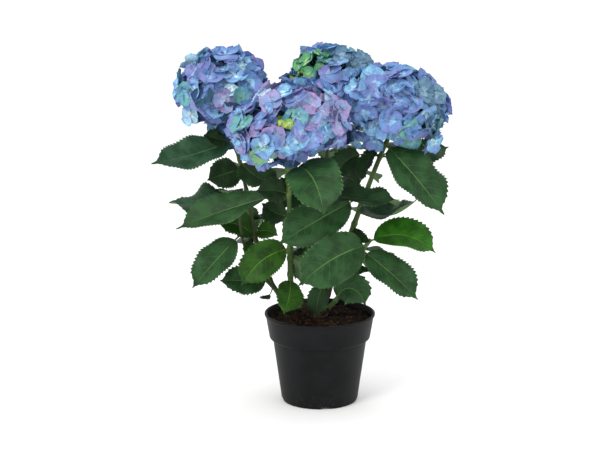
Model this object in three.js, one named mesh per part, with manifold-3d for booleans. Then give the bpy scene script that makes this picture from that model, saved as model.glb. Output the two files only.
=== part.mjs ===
// A mophead hydrangea shrub growing in a round nursery pot: pot, soil, woody foot, four canes,
// five leafy shoots and four flower heads. Millimetres, +Z up, the front faces -Y, and the
// middle of the pot's underside is the origin.
import * as THREE from 'three';
import { mergeVertices } from 'three/addons/utils/BufferGeometryUtils.js';
import Module from 'manifold-3d';

const wasm = await Module();
wasm.setup();

// Driving sizes.
const CLEAR = 0.3; // gap kept between neighbouring solids

const POT_HEIGHT = 155;
const RIM_RADIUS = 95; // over the rounded lip
const LIP_HEIGHT = 4;
const BAND_TOP_RADIUS = 93; // straight band below the lip
const BAND_FOOT_RADIUS = 86.5;
const BAND_HEIGHT = 38;
const BODY_TOP_RADIUS = 80.5; // body below the band
const BODY_FOOT_RADIUS = 66;
const FOOT_ROUNDING = 7;
const POT_WALL = 2;
const POT_FLOOR = 7;
const POT_SEGMENTS = 36;
const CHANNEL_DEPTH = 5; // drain channels under the pot
const CHANNEL_WIDTH = 17;
const CHANNEL_ROOF_WIDTH = 13;
const CHANNEL_START = 24;
const CHANNEL_HEADING = 279; // first channel, a little right of the front
const CHANNEL_COUNT = 4;

const SOIL_EDGE_HEIGHT = 145; // soil level at the pot wall
const SOIL_TOP_HEIGHT = 150; // soil level at the foot of the shrub
const SOIL_FLAT_RADIUS = 32;

// Stems: start and end point, heading and rise of each end in degrees, radius at each end.
const FOOT_MIDDLE = [-5, 2, 148];
const KNOB_RADIUS = 17; // swollen foot where the canes spring
const STEMS = {
  cane_left: {
    from: [-36, 0, 166], to: [-72, -2, 190],
    start: [180, 15], end: [180, 56], radii: [5.6, 4.4],
  },
  cane_front: {
    from: [-25, -14, 172], to: [-50, -13, 212],
    start: [200, 45], end: [250, 86], radii: [6.5, 5.2],
  },
  cane_right: {
    from: [8, -2, 176], to: [20, 0, 212],
    start: [0, 66], end: [0, 66], radii: [7, 5.6],
  },
  cane_back: {
    from: [-3, 14, 174], to: [5, 34, 222],
    start: [80, 62], end: [80, 72], radii: [6.5, 5],
  },
  shoot_left: {
    from: [-72, -2, 190], to: [-158, 52, 466],
    start: [180, 56], end: [150, 58], radii: [4.2, 3],
  },
  low_left: {
    from: [-78, -3, 199], to: [-136, -14, 330],
    start: [190, 40], end: [180, 94], radii: [3, 2.2],
  },
  shoot_front: {
    from: [-50, -13, 212], to: [-56, -86, 436],
    start: [250, 86], end: [262, 60], radii: [5, 3.4],
  },
  shoot_right: {
    from: [20, 0, 212], to: [114, -10, 460],
    start: [0, 66], end: [355, 66], radii: [5.4, 3.6],
  },
  shoot_low_right: {
    from: [15, -16, 168], to: [86, -26, 290],
    start: [335, 42], end: [350, 52], radii: [4, 2.8],
  },
  shoot_back: {
    from: [5, 34, 222], to: [14, 110, 470],
    start: [80, 72], end: [85, 76], radii: [4.8, 3.4],
  },
};
const CANES = ['cane_left', 'cane_front', 'cane_right', 'cane_back'];
const FOOT_ARMS = [...CANES, 'shoot_low_right'];

// Leaves: height of the joint on the stem, heading, stalk and blade length, rise of the stalk and
// of the tip, roll about the midrib. Width is a share of the blade length.
const LEAF_SHARE = 0.54;
const LEAF_FOLD = 16;
const LEAF_THICKNESS = 2.4; // at the midrib
const BLADE_STATIONS = [0, 0.1, 0.3, 0.56, 0.82, 1];
const STALK_RADII = [2.1, 1.5];
const LEAVES = {
  shoot_left: [
    { at: 446, heading: 207, stalk: 8, blade: 148, rise: -15, fall: -4, roll: 40, share: 0.43 },
    { at: 444, heading: 222, stalk: 20, blade: 50, rise: 15, fall: 20, roll: 68, share: 0.58 },
    { at: 400, heading: 222, stalk: 8, blade: 70, rise: -5, fall: -8, roll: 64, share: 0.78 },
    { at: 415, heading: 310, stalk: 10, blade: 92, rise: -36, fall: 8, roll: -30, share: 0.62, turn: 15 },
    { at: 364, heading: 170, stalk: 28, blade: 113, rise: -25, fall: 2, roll: 22, share: 0.58 },
    { at: 277, heading: 200, stalk: 15, blade: 70, rise: 60, fall: -4, roll: 55, share: 0.7, turn: -10 },
    { at: 290, heading: 310, stalk: 8, blade: 52, rise: 34, fall: -18, roll: -60, share: 0.62, turn: 10 },
    { at: 277, heading: 235, stalk: 8, blade: 32, rise: 2, fall: -48, roll: 34 },
    { at: 214, heading: 210, stalk: 8, blade: 90, rise: 4, fall: 8, roll: 66, share: 0.58 },
    { at: 348, heading: 84, stalk: 18, blade: 74, rise: -45, fall: -86, roll: 8, share: 0.42 },
  ],
  low_left: [
    { at: 201, heading: 234, stalk: 15, blade: 32, rise: -60, fall: 30, roll: 10, share: 0.46 },
    { at: 297, heading: 215, stalk: 15, blade: 113, rise: -37, fall: -41, roll: 33 },
    { at: 324, heading: 110, stalk: 10, blade: 52, rise: 40, fall: 5, roll: 0 },
  ],
  shoot_front: [
    { at: 424, heading: 301, stalk: 38, blade: 122, rise: 18, fall: -62, roll: -20, share: 0.75, turn: -8 },
    { at: 398, heading: 341, stalk: 48, blade: 146, rise: -16, fall: 4, roll: -15, share: 0.49, turn: 10 },
    { at: 375, heading: 235, stalk: 8, blade: 74, rise: 22, fall: 4, roll: 68, share: 0.58, turn: -18 },
    { at: 380, heading: 163, stalk: 42, blade: 162, rise: -18, fall: -20, roll: 34, share: 0.42, turn: 30 },
    { at: 334, heading: 119, stalk: 8, blade: 63, rise: -11, fall: 30, roll: 64, share: 0.68, turn: 34 },
    { at: 274, heading: 207, stalk: 8, blade: 104, rise: -8, fall: -54, roll: 66, share: 0.6 },
    { at: 255, heading: 344, stalk: 22, blade: 46, rise: 18, fall: 20, roll: -59 },
    { at: 226, heading: 272, stalk: 17, blade: 84, rise: -30, fall: -24, roll: 26, share: 0.58, turn: -18 },
    { at: 267, heading: 22, stalk: 8, blade: 62, rise: -52, fall: -86, roll: 20, share: 0.56, turn: 20 },
  ],
  shoot_right: [
    { at: 451, heading: 321, stalk: 10, blade: 152, rise: -36, fall: -44, roll: -22 },
    { at: 452, heading: 195, stalk: 18, blade: 64, rise: -30, fall: -82, roll: 26 },
    { at: 430, heading: 22, stalk: 45, blade: 84, rise: -4, fall: 10, roll: -48, share: 0.56 },
    { at: 430, heading: 187, stalk: 36, blade: 62, rise: 16, fall: -64, roll: 60, share: 0.7, turn: 10 },
    { at: 364, heading: 201, stalk: 30, blade: 146, rise: -23, fall: -27, roll: 55, share: 0.53 },
    { at: 347, heading: 298, stalk: 8, blade: 130, rise: -20, fall: 45, roll: -10, turn: 45 },
    { at: 312, heading: 290, stalk: 8, blade: 46, rise: -60, fall: 5, roll: -38, share: 0.44, turn: 30 },
    { at: 224, heading: 224, stalk: 34, blade: 53, rise: -24, fall: -86, roll: 28, share: 0.72, turn: 10 },
    { at: 361, heading: 130, stalk: 20, blade: 69, rise: 46, fall: -38, roll: 51, share: 0.52, turn: -14 },
  ],
  shoot_low_right: [
    { at: 281, heading: 214, stalk: 8, blade: 142, rise: -8, fall: -35, roll: 72, share: 0.6, turn: -5 },
    { at: 270, heading: 332, stalk: 8, blade: 119, rise: -31, fall: -41, roll: -34, turn: 5 },
    { at: 287, heading: -5, stalk: 8, blade: 115, rise: 22, fall: -41, roll: -34, share: 0.6 },
    { at: 181, heading: 336, stalk: 8, blade: 76, rise: 64, fall: -64, roll: -70, share: 0.78, turn: -15 },
  ],
  shoot_back: [
    { at: 263, heading: 216, stalk: 27, blade: 65, rise: 0, fall: -86, roll: 15, share: 0.56, turn: -10 },
    { at: 331, heading: 198, stalk: 16, blade: 104, rise: 23, fall: -4, roll: 57, share: 0.57, turn: -5 },
  ],
};

// The back of the crown grows by rule: levels up each stem bear by turns two leaves and one,
// turned away from the front, wherever they have room.
const LEVELS = [
  { stem: 'shoot_back', low: 236, high: 440, count: 7 },
  { stem: 'shoot_left', low: 262, high: 432, count: 5 },
  { stem: 'shoot_right', low: 250, high: 430, count: 5 },
  { stem: 'shoot_front', low: 262, high: 400, count: 4 },
  { stem: 'shoot_low_right', low: 216, high: 262, count: 2 },
];
const LEVEL_HEADINGS = [[50, 130], [90]];
const LEVEL_STALK = 26;
const LEVEL_BLADE = [100, 28]; // shortest blade, spread
const LEVEL_SEED = 87;
const LEAF_ROOM = 10; // between the leaves of two shoots
const HEAD_ROOM = 1.12; // round a flower head, share of its half sizes

// Flower heads: middle, half width and half depth, height above and depth below the middle,
// heading and rise of the axis.
const HEADS = {
  flower_head_left: {
    middle: [-167, 60, 517], wide: 86, deep: 84,
    above: 92, below: 54, axis: [18, 73],
  },
  flower_head_front: {
    middle: [-51, -100, 506], wide: 105, deep: 90,
    above: 70, below: 64, axis: [219, 73],
  },
  flower_head_right: {
    middle: [120, -8, 515], wide: 99, deep: 76,
    above: 74, below: 68, axis: [352, 81],
  },
  flower_head_back: {
    middle: [21, 120, 523], wide: 91, deep: 74,
    above: 80, below: 56, axis: [80, 81],
  },
};
const HEAD_OF = {
  flower_head_left: 'shoot_left',
  flower_head_front: 'shoot_front',
  flower_head_right: 'shoot_right',
  flower_head_back: 'shoot_back',
};
const CORE_SHARE = 0.8; // inner mass against the outline of the flowers
const FLORETS = 30;
const FLORET_RADIUS = 24;
const FLORET_NOTCH = 0.7; // notch between two sepals, share of the radius
const FLORET_ROOT = 0.1; // share of the outline that a floret's root reaches into the inner mass
const LAST_ANGLE = 120; // florets reach this far round from the top of the axis
const GOLDEN_ANGLE = Math.PI * (3 - Math.sqrt(5));

const COLOURS = {
  pot: '#262829',
  soil: '#2b1d17',
  wood: '#5a4a34',
  leaf: '#2f5f34',
  flower_head_left: '#6f86c6',
  flower_head_front: '#8f8fca',
  flower_head_right: '#6c8bc9',
  flower_head_back: '#7aa6b8',
};

// Directions, seeded chance and closed bodies.
const radians = THREE.MathUtils.degToRad;
const vector = (p) => new THREE.Vector3(p[0], p[1], p[2]);
const mix = (a, b, t) => a + (b - a) * t;
const smooth = (t) => t * t * (3 - 2 * t);

function direction(heading, rise) {
  const h = radians(heading);
  const r = radians(rise);
  return new THREE.Vector3(Math.cos(h) * Math.cos(r), Math.sin(h) * Math.cos(r), Math.sin(r));
}

function chance(seed) {
  let state = seed;
  return () => {
    state = (Math.imul(state, 1664525) + 1013904223) >>> 0;
    return state / 4294967296;
  };
}

// A closed body from corner points and triangles, turned to face outward.
function body(points, triangles) {
  let volume = 0;
  for (const [a, b, c] of triangles) {
    volume += points[a].dot(new THREE.Vector3().crossVectors(points[b], points[c]));
  }
  const faces = volume > 0 ? triangles : triangles.map(([a, b, c]) => [a, c, b]);
  return new wasm.Manifold(new wasm.Mesh({
    numProp: 3,
    vertProperties: new Float32Array(points.flatMap((p) => p.toArray())),
    triVerts: new Uint32Array(faces.flat()),
  }));
}

// A closed body through rings of the same number of points, capped at both ends.
function loft(rings) {
  const n = rings[0].length;
  const points = rings.flat();
  const triangles = [];
  for (let i = 0; i + 1 < rings.length; i += 1) {
    for (let k = 0; k < n; k += 1) {
      const a = i * n + k;
      const b = i * n + ((k + 1) % n);
      triangles.push([a, b, b + n], [a, b + n, a + n]);
    }
  }
  const last = (rings.length - 1) * n;
  for (let k = 1; k + 1 < n; k += 1) {
    triangles.push([0, k + 1, k], [last, last + k, last + k + 1]);
  }
  return body(points, triangles);
}

// A tapering round limb along a list of points, its end faces square to the given ways.
function limb(path, radii, sides, ways = []) {
  const rings = [];
  let normal = new THREE.Vector3(0, 1, 0);
  path.forEach((p, i) => {
    const before = path[Math.max(0, i - 1)];
    const after = path[Math.min(path.length - 1, i + 1)];
    let along = after.clone().sub(before).normalize();
    if (i === 0 && ways[0]) {
      along = direction(...ways[0]);
    }
    if (i === path.length - 1 && ways[1]) {
      along = direction(...ways[1]);
    }
    normal = normal.clone().addScaledVector(along, -normal.dot(along)).normalize();
    const across = new THREE.Vector3().crossVectors(along, normal);
    const radius = mix(radii[0], radii[1], i / (path.length - 1));
    const ring = [];
    for (let k = 0; k < sides; k += 1) {
      const a = (2 * Math.PI * k) / sides;
      ring.push(p.clone()
        .addScaledVector(normal, radius * Math.cos(a))
        .addScaledVector(across, radius * Math.sin(a)));
    }
    rings.push(ring);
  });
  return loft(rings);
}

// Stems: one curve each, from the given ends.
function stemCurve(from, to, start, end) {
  const a = vector(from);
  const d = vector(to);
  const reach = a.distanceTo(d) / 3;
  const b = a.clone().addScaledVector(direction(...start), reach);
  const c = d.clone().addScaledVector(direction(...end), -reach);
  return new THREE.CubicBezierCurve3(a, b, c, d);
}

const curves = {};
for (const [name, s] of Object.entries(STEMS)) {
  curves[name] = stemCurve(s.from, s.to, s.start, s.end);
}

// The point of a stem at a height.
function stemAt(name, height) {
  let low = 0;
  let high = 1;
  for (let i = 0; i < 30; i += 1) {
    const middle = (low + high) / 2;
    if (curves[name].getPoint(middle).z < height) {
      low = middle;
    } else {
      high = middle;
    }
  }
  return curves[name].getPoint((low + high) / 2);
}

function stemPath(name, rings, gap) {
  const path = [];
  for (let i = 0; i <= rings; i += 1) {
    path.push(curves[name].getPoint(i / rings));
  }
  path[0].addScaledVector(direction(...STEMS[name].start), gap);
  return path;
}

// Leaves: a centre line from the stem, and a folded blade along it.
const STEPS = 40;

// Centre line of a leaf from the stem to its tip: points and directions.
function leafLine(stem, leaf) {
  const total = leaf.stalk + leaf.blade;
  const points = [stemAt(stem, leaf.at)];
  const ways = [];
  for (let i = 0; i < STEPS; i += 1) {
    const s = (i + 0.5) / STEPS;
    const way = direction(leaf.heading + (leaf.turn ?? 0) * s, mix(leaf.rise, leaf.fall, smooth(s)));
    ways.push(way);
    points.push(points[i].clone().addScaledVector(way, total / STEPS));
  }
  ways.push(ways[STEPS - 1]);
  return { points, ways, total };
}

function pick(list, share) {
  const x = share * STEPS;
  const i = Math.min(STEPS - 1, Math.floor(x));
  return list[i].clone().lerp(list[i + 1], x - i);
}

// Half width of a blade along its length, 0 at the stalk and 1 at the tip, as a share of the widest.
function bladeShape(t) {
  return (t ** 0.62 * (1 - t) ** 0.8) / (0.4366 ** 0.62 * 0.5634 ** 0.8);
}

// Middle, right and left point and face normal of a blade at a place along it.
function bladeAt(line, leaf, t) {
  const share = (leaf.stalk + leaf.blade * t) / line.total;
  const middle = pick(line.points, share);
  const along = pick(line.ways, share).normalize();
  const flat = new THREE.Vector3().crossVectors(along, new THREE.Vector3(0, 0, 1)).normalize();
  const above = new THREE.Vector3().crossVectors(flat, along);
  const roll = radians(leaf.roll);
  const side = flat.clone().multiplyScalar(Math.cos(roll)).addScaledVector(above, Math.sin(roll));
  const face = above.clone().multiplyScalar(Math.cos(roll)).addScaledVector(flat, -Math.sin(roll));
  const half = Math.max(1.2, (leaf.blade * (leaf.share ?? LEAF_SHARE) * bladeShape(t)) / 2);
  const out = half * Math.cos(radians(LEAF_FOLD));
  const lift = half * Math.sin(radians(LEAF_FOLD));
  const right = middle.clone().addScaledVector(side, out).addScaledVector(face, lift);
  const left = middle.clone().addScaledVector(side, -out).addScaledVector(face, lift);
  return { middle, right, left, face };
}

function leafBodies(stem, leaf) {
  const line = leafLine(stem, leaf);
  const h = LEAF_THICKNESS / 2;
  const rings = BLADE_STATIONS.map((t) => {
    const { middle, right, left, face } = bladeAt(line, leaf, t);
    return [middle.clone().addScaledVector(face, h), right, middle.clone().addScaledVector(face, -h), left];
  });
  const stalk = [];
  const stop = (leaf.stalk + 0.14 * leaf.blade) / line.total;
  for (let i = 0; i <= 2; i += 1) {
    stalk.push(pick(line.points, (stop * i) / 2));
  }
  return [loft(rings), limb(stalk, STALK_RADII, 4)];
}

// Points that stand for a leaf when room is checked.
function leafMarks(stem, leaf) {
  const line = leafLine(stem, leaf);
  const marks = [];
  for (let i = 0; i < 5; i += 1) {
    marks.push(pick(line.points, ((leaf.stalk / line.total) * i) / 4));
  }
  for (let i = 0; i <= 12; i += 1) {
    const { middle, right, left } = bladeAt(line, leaf, i / 12);
    marks.push(middle, right, left);
  }
  return marks;
}

// Flower heads: florets that stand out of a smaller inner mass.
function headFrame(head) {
  const axis = direction(...head.axis);
  const across = new THREE.Vector3(1, 0, 0).addScaledVector(axis, -axis.x).normalize();
  const back = new THREE.Vector3().crossVectors(axis, across);
  return { middle: vector(head.middle), axis, across, back };
}

// A point of the head's outline, scaled, by its angle from the axis and its turn round it.
function headPoint(head, angle, turn, share) {
  const { middle, axis, across, back } = headFrame(head);
  const tall = Math.cos(angle) > 0 ? head.above : head.below;
  return middle.clone()
    .addScaledVector(across, share * head.wide * Math.sin(angle) * Math.cos(turn))
    .addScaledVector(back, share * head.deep * Math.sin(angle) * Math.sin(turn))
    .addScaledVector(axis, share * tall * Math.cos(angle));
}

// How far out a point lies against the head's outline: 1 on it, less inside.
function headLevel(head, point) {
  const { middle, axis, across, back } = headFrame(head);
  const d = point.clone().sub(middle);
  const h = d.dot(axis);
  const tall = h > 0 ? head.above : head.below;
  return (d.dot(across) / head.wide) ** 2 + (d.dot(back) / head.deep) ** 2 + (h / tall) ** 2;
}

function headNormal(head, angle, turn) {
  const { axis, across, back } = headFrame(head);
  const tall = Math.cos(angle) > 0 ? head.above : head.below;
  return across.clone().multiplyScalar((Math.sin(angle) * Math.cos(turn)) / head.wide)
    .addScaledVector(back, (Math.sin(angle) * Math.sin(turn)) / head.deep)
    .addScaledVector(axis, Math.cos(angle) / tall)
    .normalize();
}

function headCore(head) {
  const rows = 6;
  const columns = 9;
  const points = [headPoint(head, 0, 0, CORE_SHARE)];
  for (let i = 1; i < rows; i += 1) {
    for (let k = 0; k < columns; k += 1) {
      points.push(headPoint(head, (Math.PI * i) / rows, (2 * Math.PI * k) / columns, CORE_SHARE));
    }
  }
  points.push(headPoint(head, Math.PI, 0, CORE_SHARE));
  const triangles = [];
  const last = points.length - 1;
  for (let k = 0; k < columns; k += 1) {
    const next = (k + 1) % columns;
    triangles.push([0, 1 + k, 1 + next], [last, last - columns + next, last - columns + k]);
    for (let i = 0; i + 2 < rows; i += 1) {
      const a = 1 + i * columns;
      triangles.push([a + k, a + columns + k, a + columns + next], [a + k, a + columns + next, a + next]);
    }
  }
  return body(points, triangles);
}

// One floret: a dished face of four sepals narrowing to a root inside the core.
function floret(head, angle, turn, spin, size) {
  const normal = headNormal(head, angle, turn);
  const centre = headPoint(head, angle, turn, 1).addScaledVector(normal, -5);
  const side = new THREE.Vector3(0, 0, 1).cross(normal);
  if (side.length() < 0.1) {
    side.set(1, 0, 0);
  }
  side.addScaledVector(normal, -side.dot(normal)).normalize();
  const other = new THREE.Vector3().crossVectors(normal, side);
  const points = [centre.clone().addScaledVector(normal, -1)];
  for (let k = 0; k < 8; k += 1) {
    const a = spin + (Math.PI * k) / 4;
    const radius = FLORET_RADIUS * size * (k % 2 ? FLORET_NOTCH : 1);
    points.push(centre.clone()
      .addScaledVector(side, radius * Math.cos(a))
      .addScaledVector(other, radius * Math.sin(a))
      .addScaledVector(normal, k % 2 ? 1 : 2));
  }
  points.push(headPoint(head, angle, turn, CORE_SHARE - FLORET_ROOT));
  const triangles = [];
  for (let k = 0; k < 8; k += 1) {
    const a = 1 + k;
    const b = 1 + ((k + 1) % 8);
    triangles.push([0, a, b], [9, b, a]);
  }
  return body(points, triangles);
}

function flowerHead(name, seed) {
  const head = HEADS[name];
  const random = chance(seed);
  const bodies = [headCore(head)];
  const share = (1 - Math.cos(radians(LAST_ANGLE))) / FLORETS;
  for (let i = 0; i < FLORETS; i += 1) {
    const angle = Math.acos(1 - share * (i + 0.5));
    const turn = GOLDEN_ANGLE * i + 0.2 * (random() - 0.5);
    bodies.push(floret(head, angle, turn, 2 * Math.PI * random(), 0.92 + 0.16 * random()));
  }
  const shoot = STEMS[HEAD_OF[name]];
  const foot = vector(shoot.to).addScaledVector(direction(...shoot.end), CLEAR);
  const inside = vector(head.middle);
  const neck = foot.clone().addScaledVector(direction(...shoot.end), 4);
  bodies.push(limb([foot, neck, inside], [3.4, 4], 8, [shoot.end]));
  return wasm.Manifold.union(bodies);
}

// Pot and soil: turned profiles about the pot's axis.
// A three.js geometry with its height along Y, stood upright and closed.
function solid(geometry) {
  const bare = geometry.clone();
  bare.deleteAttribute('normal');
  bare.deleteAttribute('uv');
  const merged = mergeVertices(bare.rotateX(Math.PI / 2), 1e-4);
  const position = merged.getAttribute('position');
  const corners = merged.getIndex().array;
  const points = [];
  for (let i = 0; i < position.count; i += 1) {
    points.push(new THREE.Vector3().fromBufferAttribute(position, i));
  }
  const triangles = [];
  for (let i = 0; i < corners.length; i += 3) {
    const [a, b, c] = corners.slice(i, i + 3);
    if (a !== b && b !== c && c !== a) {
      triangles.push([a, b, c]);
    }
  }
  return body(points, triangles);
}

function turned(profile) {
  const line = profile.map(([r, z]) => new THREE.Vector2(r, z));
  return solid(new THREE.LatheGeometry(line, POT_SEGMENTS));
}

const bandFoot = POT_HEIGHT - LIP_HEIGHT - BAND_HEIGHT;
const bodySlope = (BODY_TOP_RADIUS - BODY_FOOT_RADIUS) / (bandFoot - 4 - FOOT_ROUNDING);
const innerRadius = (z) => BODY_FOOT_RADIUS - POT_WALL + bodySlope * (z - FOOT_ROUNDING);
const bandSlope = (BAND_TOP_RADIUS - BAND_FOOT_RADIUS) / BAND_HEIGHT;
const innerBand = (z) => BAND_FOOT_RADIUS - POT_WALL + bandSlope * (z - bandFoot);

function pot() {
  const rounding = [];
  for (let i = 0; i <= 3; i += 1) {
    const a = (Math.PI / 2) * (i / 3);
    rounding.push([
      BODY_FOOT_RADIUS - FOOT_ROUNDING * (1 - Math.sin(a)),
      FOOT_ROUNDING * (1 - Math.cos(a)),
    ]);
  }
  const profile = [
    [0, 0],
    ...rounding,
    [BODY_TOP_RADIUS, bandFoot - 4],
    [BAND_FOOT_RADIUS - 1.5, bandFoot - 2],
    [BAND_FOOT_RADIUS, bandFoot],
    [BAND_TOP_RADIUS, POT_HEIGHT - LIP_HEIGHT],
    [RIM_RADIUS, POT_HEIGHT - LIP_HEIGHT + 1],
    [RIM_RADIUS, POT_HEIGHT - 1],
    [RIM_RADIUS - 1, POT_HEIGHT],
    [BAND_TOP_RADIUS - POT_WALL, POT_HEIGHT],
    [innerBand(bandFoot + 2), bandFoot + 2],
    [innerRadius(bandFoot - 4), bandFoot - 2],
    [innerRadius(POT_FLOOR + 4), POT_FLOOR + 4],
    [innerRadius(POT_FLOOR) - 4, POT_FLOOR],
    [0, POT_FLOOR],
  ];
  let result = turned(profile);
  for (let i = 0; i < CHANNEL_COUNT; i += 1) {
    const ring = (x) => [
      [x, -CHANNEL_WIDTH / 2, -1],
      [x, CHANNEL_WIDTH / 2, -1],
      [x, CHANNEL_ROOF_WIDTH / 2, CHANNEL_DEPTH],
      [x, -CHANNEL_ROOF_WIDTH / 2, CHANNEL_DEPTH],
    ].map(vector);
    const channel = loft([ring(CHANNEL_START), ring(BODY_FOOT_RADIUS + 10)]);
    result = result.subtract(channel.rotate([0, 0, CHANNEL_HEADING + (360 * i) / CHANNEL_COUNT]));
  }
  return result;
}

function soil() {
  return turned([
    [0, POT_FLOOR + CLEAR],
    [innerRadius(POT_FLOOR) - 4 - CLEAR, POT_FLOOR + CLEAR],
    [innerRadius(POT_FLOOR + 4) - CLEAR, POT_FLOOR + 4 + CLEAR],
    [innerRadius(bandFoot - 4) - CLEAR, bandFoot - 2],
    [innerBand(bandFoot + 2) - 2 * CLEAR, bandFoot + 2 + CLEAR],
    [innerBand(SOIL_EDGE_HEIGHT) - 2 * CLEAR, SOIL_EDGE_HEIGHT],
    [58, SOIL_EDGE_HEIGHT + 2.5],
    [SOIL_FLAT_RADIUS, SOIL_TOP_HEIGHT],
    [0, SOIL_TOP_HEIGHT],
  ]);
}

// Woody foot: arms reach from the middle of the foot to the start of each cane; the whole is cut flat.
function rootCrown() {
  const bodies = [];
  for (const name of FOOT_ARMS) {
    const s = STEMS[name];
    const rise = Math.max(35, s.start[1]);
    const curve = stemCurve(FOOT_MIDDLE, s.from, [s.start[0], rise], s.start);
    const path = [];
    for (let i = 0; i <= 4; i += 1) {
      path.push(curve.getPoint(i / 4));
    }
    bodies.push(limb(path, [10, s.radii[0] + 0.4], 8, [null, s.start]));
  }
  const knob = new THREE.SphereGeometry(KNOB_RADIUS, 12, 8).scale(1.15, 0.75, 0.95);
  bodies.push(solid(knob).translate(FOOT_MIDDLE));
  return wasm.Manifold.union(bodies).trimByPlane([0, 0, 1], SOIL_TOP_HEIGHT + CLEAR);
}

// Growth: leaves of the lists first, then those of the rule wherever they have room.
function grow() {
  const leaves = {};
  const taken = [];
  const owner = (stem) => (stem === 'low_left' ? 'shoot_left' : stem);
  for (const [stem, list] of Object.entries(LEAVES)) {
    leaves[stem] = [...list];
    for (const leaf of list) {
      taken.push({ owner: owner(stem), marks: leafMarks(stem, leaf) });
    }
  }
  for (const name of Object.keys(STEMS)) {
    const marks = [];
    for (let i = 0; i < 60; i += 1) {
      marks.push(curves[name].getPoint(i / 59));
    }
    taken.push({ owner: owner(name), marks });
  }
  const random = chance(LEVEL_SEED);
  for (const { stem, low, high, count } of LEVELS) {
    for (let i = 0; i < count; i += 1) {
      for (const heading of LEVEL_HEADINGS[i % 2]) {
        const leaf = {
          at: Math.round(mix(low, high, i / (count - 1))),
          heading: heading + 16 * (random() - 0.5),
          stalk: LEVEL_STALK,
          blade: LEVEL_BLADE[0] + LEVEL_BLADE[1] * random(),
          rise: 12,
          roll: 16 * (random() - 0.5),
          fall: -30 - 20 * random(),
        };
        const marks = leafMarks(stem, leaf);
        const crowded = taken.some((other) => other.owner !== stem
          && other.marks.some((p) => marks.some((q) => p.distanceTo(q) < LEAF_ROOM)));
        const blooms = Object.values(HEADS)
          .some((head) => marks.some((q) => headLevel(head, q) < HEAD_ROOM));
        if (!crowded && !blooms) {
          leaves[stem].push(leaf);
          taken.push({ owner: stem, marks });
        }
      }
    }
  }
  return leaves;
}

const leaves = grow();

function shoot(...stems) {
  const bodies = [];
  for (const stem of stems) {
    const own = stem === stems[0];
    const path = stemPath(stem, own ? 7 : 5, own ? CLEAR : 0);
    bodies.push(limb(path, STEMS[stem].radii, 8, [STEMS[stem].start, STEMS[stem].end]));
    for (const leaf of leaves[stem]) {
      bodies.push(...leafBodies(stem, leaf));
    }
  }
  return wasm.Manifold.union(bodies);
}

// The whole plant in its pot, one mesh for each piece.
const group = new THREE.Group();

function add(name, solid, colour, roughness) {
  const mesh = solid.getMesh();
  const geometry = new THREE.BufferGeometry();
  geometry.setAttribute('position', new THREE.BufferAttribute(new Float32Array(mesh.vertProperties), 3));
  geometry.setIndex(new THREE.BufferAttribute(new Uint32Array(mesh.triVerts), 1));
  geometry.computeVertexNormals();
  const material = new THREE.MeshStandardMaterial({ color: colour, roughness });
  const part = new THREE.Mesh(geometry, material);
  part.name = name;
  group.add(part);
}

add('pot', pot(), COLOURS.pot, 0.55);
add('soil', soil(), COLOURS.soil, 0.95);
add('root_crown', rootCrown(), COLOURS.wood, 0.9);
for (const name of CANES) {
  const { radii, start, end } = STEMS[name];
  add(name, limb(stemPath(name, 4, CLEAR), radii, 10, [start, end]), COLOURS.wood, 0.85);
}
add('shoot_left', shoot('shoot_left', 'low_left'), COLOURS.leaf, 0.6);
add('shoot_front', shoot('shoot_front'), COLOURS.leaf, 0.6);
add('shoot_right', shoot('shoot_right'), COLOURS.leaf, 0.6);
add('shoot_low_right', shoot('shoot_low_right'), COLOURS.leaf, 0.6);
add('shoot_back', shoot('shoot_back'), COLOURS.leaf, 0.6);
Object.keys(HEADS).forEach((name, i) => {
  add(name, flowerHead(name, 11 + i), COLOURS[name], 0.75);
});

export default group;
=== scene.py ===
from collections import namedtuple
import math

import bpy
import numpy as np
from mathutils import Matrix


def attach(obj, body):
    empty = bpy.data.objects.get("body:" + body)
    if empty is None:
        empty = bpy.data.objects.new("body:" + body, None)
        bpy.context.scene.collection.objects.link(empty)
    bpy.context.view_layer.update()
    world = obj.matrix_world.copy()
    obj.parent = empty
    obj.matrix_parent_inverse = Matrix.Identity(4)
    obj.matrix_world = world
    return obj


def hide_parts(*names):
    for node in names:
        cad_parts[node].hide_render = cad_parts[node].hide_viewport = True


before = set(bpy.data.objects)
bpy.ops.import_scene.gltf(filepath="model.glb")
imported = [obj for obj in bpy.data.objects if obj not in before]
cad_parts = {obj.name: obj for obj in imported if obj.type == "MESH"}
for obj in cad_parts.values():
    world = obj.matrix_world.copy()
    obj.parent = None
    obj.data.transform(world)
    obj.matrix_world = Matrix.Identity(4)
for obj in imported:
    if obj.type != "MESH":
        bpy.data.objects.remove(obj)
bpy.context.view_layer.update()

# The nursery pot: black moulded plastic, a plain tapering body under a straight band with a
# rolled lip, and four drain channels pressed into its underside. Sizes are in millimetres.
POT_HEIGHT, LIP_HEIGHT, BAND_HEIGHT = 155.0, 4.0, 38.0
RIM_RADIUS, BAND_TOP, BAND_FOOT = 95.0, 93.0, 86.5
BODY_TOP, BODY_FOOT, FOOT_ROUNDING = 80.5, 66.0, 7.0
POT_WALL, POT_FLOOR = 2.0, 7.0
CHANNEL_DEPTH, CHANNEL_WIDTH, CHANNEL_ROOF, CHANNEL_START, CHANNEL_HEADING = 5.0, 17.0, 13.0, 24.0, 279.0
BAND_Z = POT_HEIGHT - LIP_HEIGHT - BAND_HEIGHT
BODY_SLOPE = (BODY_TOP - BODY_FOOT) / (BAND_Z - 4 - FOOT_ROUNDING)


def tone(code):
    """Linear red, green and blue of a colour written as on a paint chart, such as #262829."""
    share = np.array([int(code[i:i + 2], 16) for i in (1, 3, 5)]) / 255
    return np.where(share <= 0.04045, share / 12.92, ((share + 0.055) / 1.055) ** 2.4).tolist()


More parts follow.
